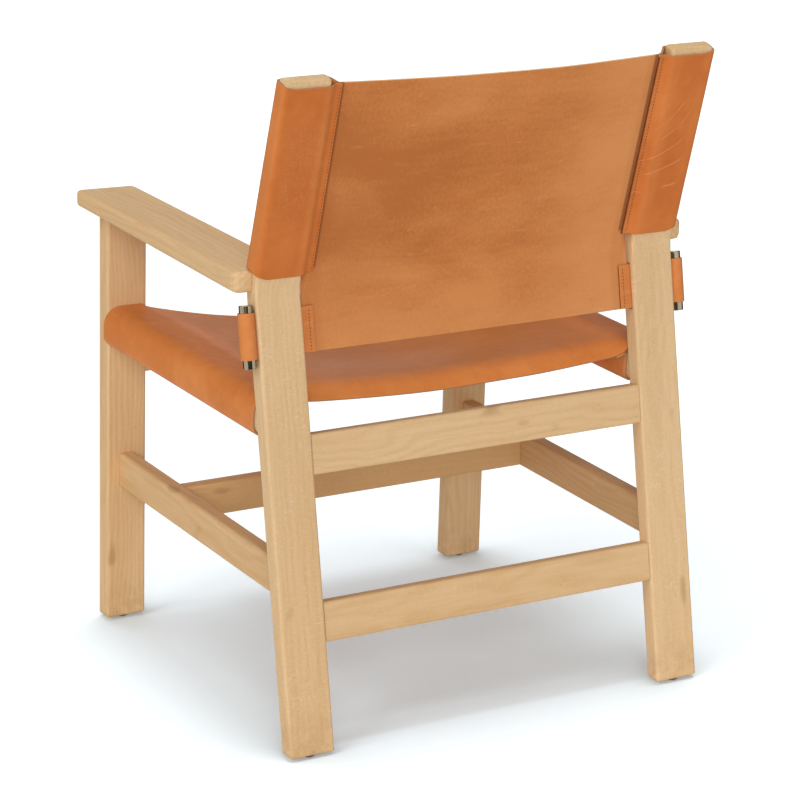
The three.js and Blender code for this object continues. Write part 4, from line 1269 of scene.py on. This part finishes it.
@dataclass
class BackStrap:
    """A strap sewn to the back's lower corner, through the leg's slot and round the steel rod."""

    side: Side
    tab: float = 14 * MM
    thickness: float = 1.8 * MM
    layer_gap: float = 0.4 * MM
    gap: float = 0.3 * MM
    panel: float = 2.5 * MM
    rod_radius: float = 7.8 * MM
    standoff: float = 1.6 * MM
    low: float = -79.47 * MM
    height: float = 54 * MM
    stitch_pitch: float = 4.1 * MM
    stitch_x: float = 218.8 * MM
    loop_angle: float = 158
    loop_points: int = 44
    columns: int = 170
    rows: int = 24

    @property
    def tab_depth(self) -> float:
        """Returns the distance from the slot's middle to the middle of a tab layer."""
        return self.panel / 2 + self.gap + self.thickness / 2

    def path(self) -> Array:
        """Returns the strap in plan as (x, depth from the slot's middle), front layer, loop, then rear layer."""
        layer = (self.layer_gap + self.thickness) / 2
        ring = self.rod_radius + self.gap + self.thickness / 2
        rod_x = LINES.outer + self.standoff + self.rod_radius
        start = LINES.inner - LINES.panel_gap - self.tab + self.gap
        half = np.array([
            (start, self.tab_depth),
            (LINES.inner - 2.6 * MM, self.tab_depth),
            (LINES.inner + 3.5 * MM, layer),
            (LINES.outer - 0.9 * MM, layer),
            (LINES.outer + 0.8 * MM, 2.7 * MM),
        ])
        upper = filleted(half, (4 * MM, 6 * MM, 2 * MM))
        turn = np.radians(np.linspace(self.loop_angle, -self.loop_angle, self.loop_points))
        loop = np.stack([rod_x + ring * np.cos(turn), ring * np.sin(turn)], axis=1)
        return resampled(np.concatenate([upper[:-1], loop, upper[-2::-1] * (1, -1)]), self.columns)

    def build(self, faces: LeatherFaces, thread: bpy.types.Material) -> None:
        """Makes the strap and its row of stitches.

        Args:
            faces: The leather's finishes.
            thread: The thread's finish.
        """
        label = self.side.label
        path, along = self.path(), np.linspace(self.low, self.low + self.height, self.rows)
        x, depth = self.side.value * path[None, :, 0], LINES.slot_depth + path[None, :, 1]
        middle = LINES.place(LINES.leg_up, x, depth, along[:, None])
        if self.side is Side.RIGHT:
            middle = middle[::-1]
        made = LeatherSheet(f"back_strap_leather_{label}", middle, self.thickness, ease=0.35 * MM).build(faces)
        settled(made, ROOT_BODY, f"back_strap_{label}")
        run = np.arange(self.low + 3 * MM, self.low + self.height - 2 * MM, self.stitch_pitch)
        surface = LINES.slot_depth - self.tab_depth - self.thickness / 2
        places = LINES.row(LINES.leg_up, self.side.value * self.stitch_x, surface, run)
        row = Stitching(f"strap_stitches_{label}").build(*places, thread)


@dataclass
class ToggleRod:
    """The steel rod in a strap's loop: a bar with its ends turned to a small round."""

    side: Side
    radius: float = 7.8 * MM
    length: float = 73.5 * MM
    end_round: float = 1.0 * MM
    x: float = 298.4 * MM
    middle: float = -53.47 * MM
    sides: int = 72
    end_steps: int = 6
    edge_angle: float = 40

    def build(self, finish: bpy.types.Material) -> None:
        """Makes the rod: its profile has a quarter circle at each end, and is turned about the leg's direction.

        Args:
            finish: The steel's finish.
        """
        label = self.side.label
        half, r = self.length / 2, self.end_round
        turn = np.radians(np.linspace(-90, 0, self.end_steps))
        low_end = np.stack([self.radius - r + r * np.cos(turn), -half + r + r * np.sin(turn)], axis=1)
        inner = np.array([[self.radius * 0.5, -half], [self.radius - 1.5 * r, -half]])
        lower = np.concatenate([inner, low_end])
        profile = np.concatenate([lower, lower[::-1] * (1, -1)])
        points, faces = revolved(profile, self.sides)
        x = self.side.value * self.x + points[:, 0]
        placed = LINES.place(LINES.leg_up, x, LINES.slot_depth - points[:, 1], self.middle + points[:, 2])
        made = mesh_object(f"steel_rod_{label}", placed, faces)
        split = made.modifiers.new("flat_ends", "EDGE_SPLIT")
        split.split_angle = math.radians(self.edge_angle)
        made.data.materials.append(finish)
        settled(made, f"rod_{label}", f"toggle_rod_{label}")
        LOG.info("%s rod: %.1f mm across, %.1f mm long", label, 2 * self.radius / MM, self.length / MM)


# ---------------------------------------------------------------------------------------- frame


def redress(node: bpy.types.Object, finish: bpy.types.Material) -> None:
    """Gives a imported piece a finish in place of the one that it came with."""
    node.data.materials.clear()
    node.data.materials.append(finish)


@dataclass
class OakFrame:
    """The oak members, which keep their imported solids, by the start of their names."""

    finish: SoapedOak = field(default_factory=SoapedOak)
    boards: dict[str, Board] = field(default_factory=lambda: {
        "front_leg": Board(Grain.UPRIGHT),
        "rear_leg": Board(Grain.RAKED, flecks=1.0, depth=0.34),
        "armrest": Board(Grain.ALONG, depth=0.55),
        "seat_side_rail": Board(Grain.ALONG),
        # deeper tone here is painted shade, for the shadow under the seat
        "side_stretcher": Board(Grain.ALONG, depth=0.85),
        "arm_dowel": Board(Grain.ALONG),
        "front_seat_rail": Board(Grain.ACROSS),
        # deeper tone here is painted shade, for the shadow under the seat
        "cross_stretcher": Board(Grain.ACROSS, depth=1.1),
        "upper_back_rail": Board(Grain.ACROSS),
        "lower_back_rail": Board(Grain.ACROSS),
    })

    def dress(self) -> None:
        """Gives each member oak cut from its own place in the log."""
        for number, (name, node) in enumerate(sorted(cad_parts.items())):
            board = next((board for kind, board in self.boards.items() if name.startswith(kind)), None)
            if board is None:
                continue
            offset = (0.061 + 0.017 * (number % 5), 0.043 + 0.023 * (number % 3), 0.37 * number)
            redress(node, self.finish.material(f"oak_{name}", board, offset))
            LOG.info("%s: oak, fibres %s", name, board.grain.name.lower())


def dress_glides(finish: bpy.types.Material) -> None:
    """Gives the four glides their nylon."""
    for name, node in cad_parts.items():
        if name.startswith("glide_"):
            redress(node, finish)
            LOG.info("%s: nylon", name)


# ---------------------------------------------------------------------------------------- studio


@dataclass
class Studio:
    """A white floor and surround, four soft lights, black flags and the camera.

    The lights come from overhead, from the sitter's left, from low behind and, weakly, from behind to the right.
    Each is given as its strength square on, the direction towards it and its angular size in degrees. Each flag is
    given as its heading from the chair, and the floor's lift goes by how open to the sky a place on it is, which
    paints a shadow on the floor under the chair.
    """

    camera_place: tuple[float, float, float] = (1.88364, 3.11185, 1.45651)
    yaw: float = 31.2798
    pitch: float = -17.2499
    roll: float = 1.7388
    lens: float = 137.75
    sensor: float = 36
    ambient: float = 0.22
    lights: dict[str, tuple[float, tuple[float, float, float], float]] = field(default_factory=lambda: {
        "overhead": (0.78, (0, -0.05, 1), 12),
        "left": (0.92, (0.8, 0.15, 0.6), 30),
        "low_rear": (1.4, (0.44, 0.82, 0.3), 30),
        "opposite": (0.16, (-0.35, 0.9, 0.12), 40),
    })
    floor_colour: Colour = (0.94, 0.94, 0.94, 1)
    floor_shown: Colour = (0.74, 0.86, 0.925, 1)
    floor_lift: float = 0.14
    painted_shadow_depth: float = 0.4
    painted_shadow_range: tuple[float, float] = (0.45, 0.9)
    floor_half: float = 30
    flags: dict[str, float] = field(default_factory=lambda: {"behind": 62, "left": -58, "right": 184})
    flag_size: tuple[float, float, float] = (1.0, 1.1, 1.3)
    flag_colour: Colour = (0.02, 0.018, 0.015, 1)

    def camera(self) -> None:
        """Sets the camera, which looks along (-sin yaw cos pitch, -cos yaw cos pitch, sin pitch)."""
        yaw, pitch, roll = (math.radians(value) for value in (self.yaw, self.pitch, self.roll))
        look = Vector((-math.sin(yaw) * math.cos(pitch), -math.cos(yaw) * math.cos(pitch), math.sin(pitch)))
        right = look.cross(Vector((0, 0, 1))).normalized()
        up = right.cross(look)
        turned = right * math.cos(roll) + up * math.sin(roll)
        upright = up * math.cos(roll) - right * math.sin(roll)
        data = bpy.data.cameras.new("camera")
        data.lens, data.sensor_width, data.sensor_fit = self.lens, self.sensor, "HORIZONTAL"
        data.clip_start, data.clip_end = 0.1, 60
        made = linked("camera", data)
        basis = Matrix((turned, upright, -look)).transposed().to_4x4()
        made.matrix_world = Matrix.Translation(self.camera_place) @ basis
        bpy.context.scene.camera = made

    def sun(self, name: str, strength: float, source: Sequence[float], spread: float) -> None:
        """Adds an even soft light that comes from a direction.

        Args:
            name: The light's name.
            strength: Its strength square on.
            source: The direction towards it.
            spread: Its angular size in degrees.
        """
        data = bpy.data.lights.new(name, "SUN")
        data.energy, data.angle = strength, math.radians(spread)
        made = linked(name, data)
        made.rotation_mode = "QUATERNION"
        made.rotation_quaternion = Vector(source).to_track_quat("Z", "Y")

    @staticmethod
    def seen_plainly(tree: Tree) -> Signal:
        """Returns 1 for the rays of the camera, of reflections and of clear materials, and 0 for the rest."""
        path = tree.node("ShaderNodeLightPath")
        camera, glossy, clear = (tree.out(path, f"Is {kind} Ray") for kind in ("Camera", "Glossy", "Transmission"))
        return camera.most(glossy).most(clear)

    def world(self) -> None:
        """Sets an even white surround, at full white where the camera or a reflection sees it."""
        world = bpy.data.worlds.new("surround")
        bpy.context.scene.world = world
        tree = Tree(world)
        white = (1, 1, 1, 1)
        dim, full = (
            tree.out(tree.node("ShaderNodeBackground", {}, {"Color": white, "Strength": strength}), "Background")
            for strength in (self.ambient, 1.0)
        )
        both = tree.node("ShaderNodeMixShader", {}, {0: self.seen_plainly(tree), 1: dim, 2: full})
        tree.show(tree.out(both, "Shader"), "ShaderNodeOutputWorld")

    def floor(self) -> None:
        """Lays a matt white floor, lifted to full white for the camera so that only the shadow shows.

        The camera sees it slightly blue, against the warm light that the chair throws on it, and sees less of the
        lift under the chair, where the fading glow is a painted shadow.
        """
        corners = np.array([(-1, -1, 0), (1, -1, 0), (1, 1, 0), (-1, 1, 0)], float) * self.floor_half
        made = mesh_object("studio_floor", corners, np.array([[0, 1, 2, 3]]))
        tree = Tree("studio_floor")
        seen = self.seen_plainly(tree)
        colour = tree.mix(seen, self.floor_colour, self.floor_shown)
        matt = tree.out(tree.node("ShaderNodeBsdfDiffuse", {}, {"Color": colour}), "BSDF")
        sky = tree.out(tree.node("ShaderNodeAmbientOcclusion", {"samples": 16}, {"Distance": 1.0}), "AO")
        # painted shadow: the glow drops where the chair hides the sky
        strength = seen * (sky.step(*self.painted_shadow_range) * self.painted_shadow_depth + self.floor_lift)
        lift = tree.out(tree.node("ShaderNodeEmission", {}, {"Strength": strength}), "Emission")
        both = tree.out(tree.node("ShaderNodeAddShader", {}, {0: matt, 1: lift}), "Shader")
        made.data.materials.append(tree.show(both))

    def flag(self, name: str, heading: float) -> None:
        """Stands a black flag on the floor, which shows only in reflections and gives the steel its dark bands.

        Args:
            name: The flag's name.
            heading: Its direction from the chair in degrees, from +X towards +Y.
        """
        distance, width, height = self.flag_size
        turn = math.radians(heading)
        out, across = np.array([math.cos(turn), math.sin(turn), 0]), np.array([-math.sin(turn), math.cos(turn), 0])
        foot = [out * distance + across * (share * width / 2) for share in (-1, 1)]
        rise = np.array([0, 0, height])
        corners = np.array([*foot, foot[1] + rise, foot[0] + rise])
        made = mesh_object(f"flag_{name}", corners, np.array([[0, 1, 2, 3]]))
        made.data.materials.append(Tree(f"flag_{name}").finish(Base_Color=self.flag_colour, Roughness=0.9))
        made.visible_camera = made.visible_diffuse = made.visible_shadow = False
        made.visible_transmission = made.visible_volume_scatter = False

    def build(self) -> None:
        """Makes the camera, the lights, the surround, the floor and the flags."""
        self.camera()
        for name, (strength, source, spread) in self.lights.items():
            self.sun(f"{name}_light", strength, source, spread)
        self.world()
        self.floor()
        for name, heading in self.flags.items():
            self.flag(name, heading)
        bpy.context.scene.view_settings.view_transform = "Standard"


def main() -> None:
    """Builds the studio, dresses the frame, and makes the leather, the rods and the stitching."""
    logging.basicConfig(level=logging.INFO, format="%(name)s: %(message)s")
    Studio().build()
    OakFrame().dress()
    dress_glides(BrownNylon().material("glide_nylon"))
    flesh = FleshSide().material("flesh_side", ())
    seat_hide = SmoothHide(srgb(218, 134, 69), srgb(198, 112, 54), srgb(234, 160, 96))
    seat_top = seat_hide.material("seat_hide", seat=SeatSling().width)
    width, seam = BackSling().across()
    sleeved = SmoothHide().material("back_hide", (0.4, 0.2, 0), width)
    back_flesh = FleshSide().material("back_flesh", (seam + 1 * MM, width - seam - 1 * MM))
    pale_hide = SmoothHide(srgb(217, 136, 76), srgb(198, 116, 58), srgb(234, 166, 108))
    straps = pale_hide.material("strap_hide", (0.7, 0, 0))
    back_edge = CutEdge().material("back_edge", 0.8, (seam, width - seam))
    seat_edge, dark_edge = CutEdge().material("seat_edge", 0.6), CutEdge().material("burnished_edge", 0.8)
    thread = WaxedThread().material("waxed_thread")
    steel = PolishedSteel().material("polished_steel")
    SeatSling().build(LeatherFaces(seat_top, flesh, seat_edge), thread)
    BackSling().build(LeatherFaces(sleeved, back_flesh, back_edge), thread)
    for side in Side:
        BackStrap(side).build(LeatherFaces(straps, flesh, dark_edge), thread)
        ToggleRod(side).build(steel)
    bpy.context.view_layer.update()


if __name__ == "__main__":
    main()
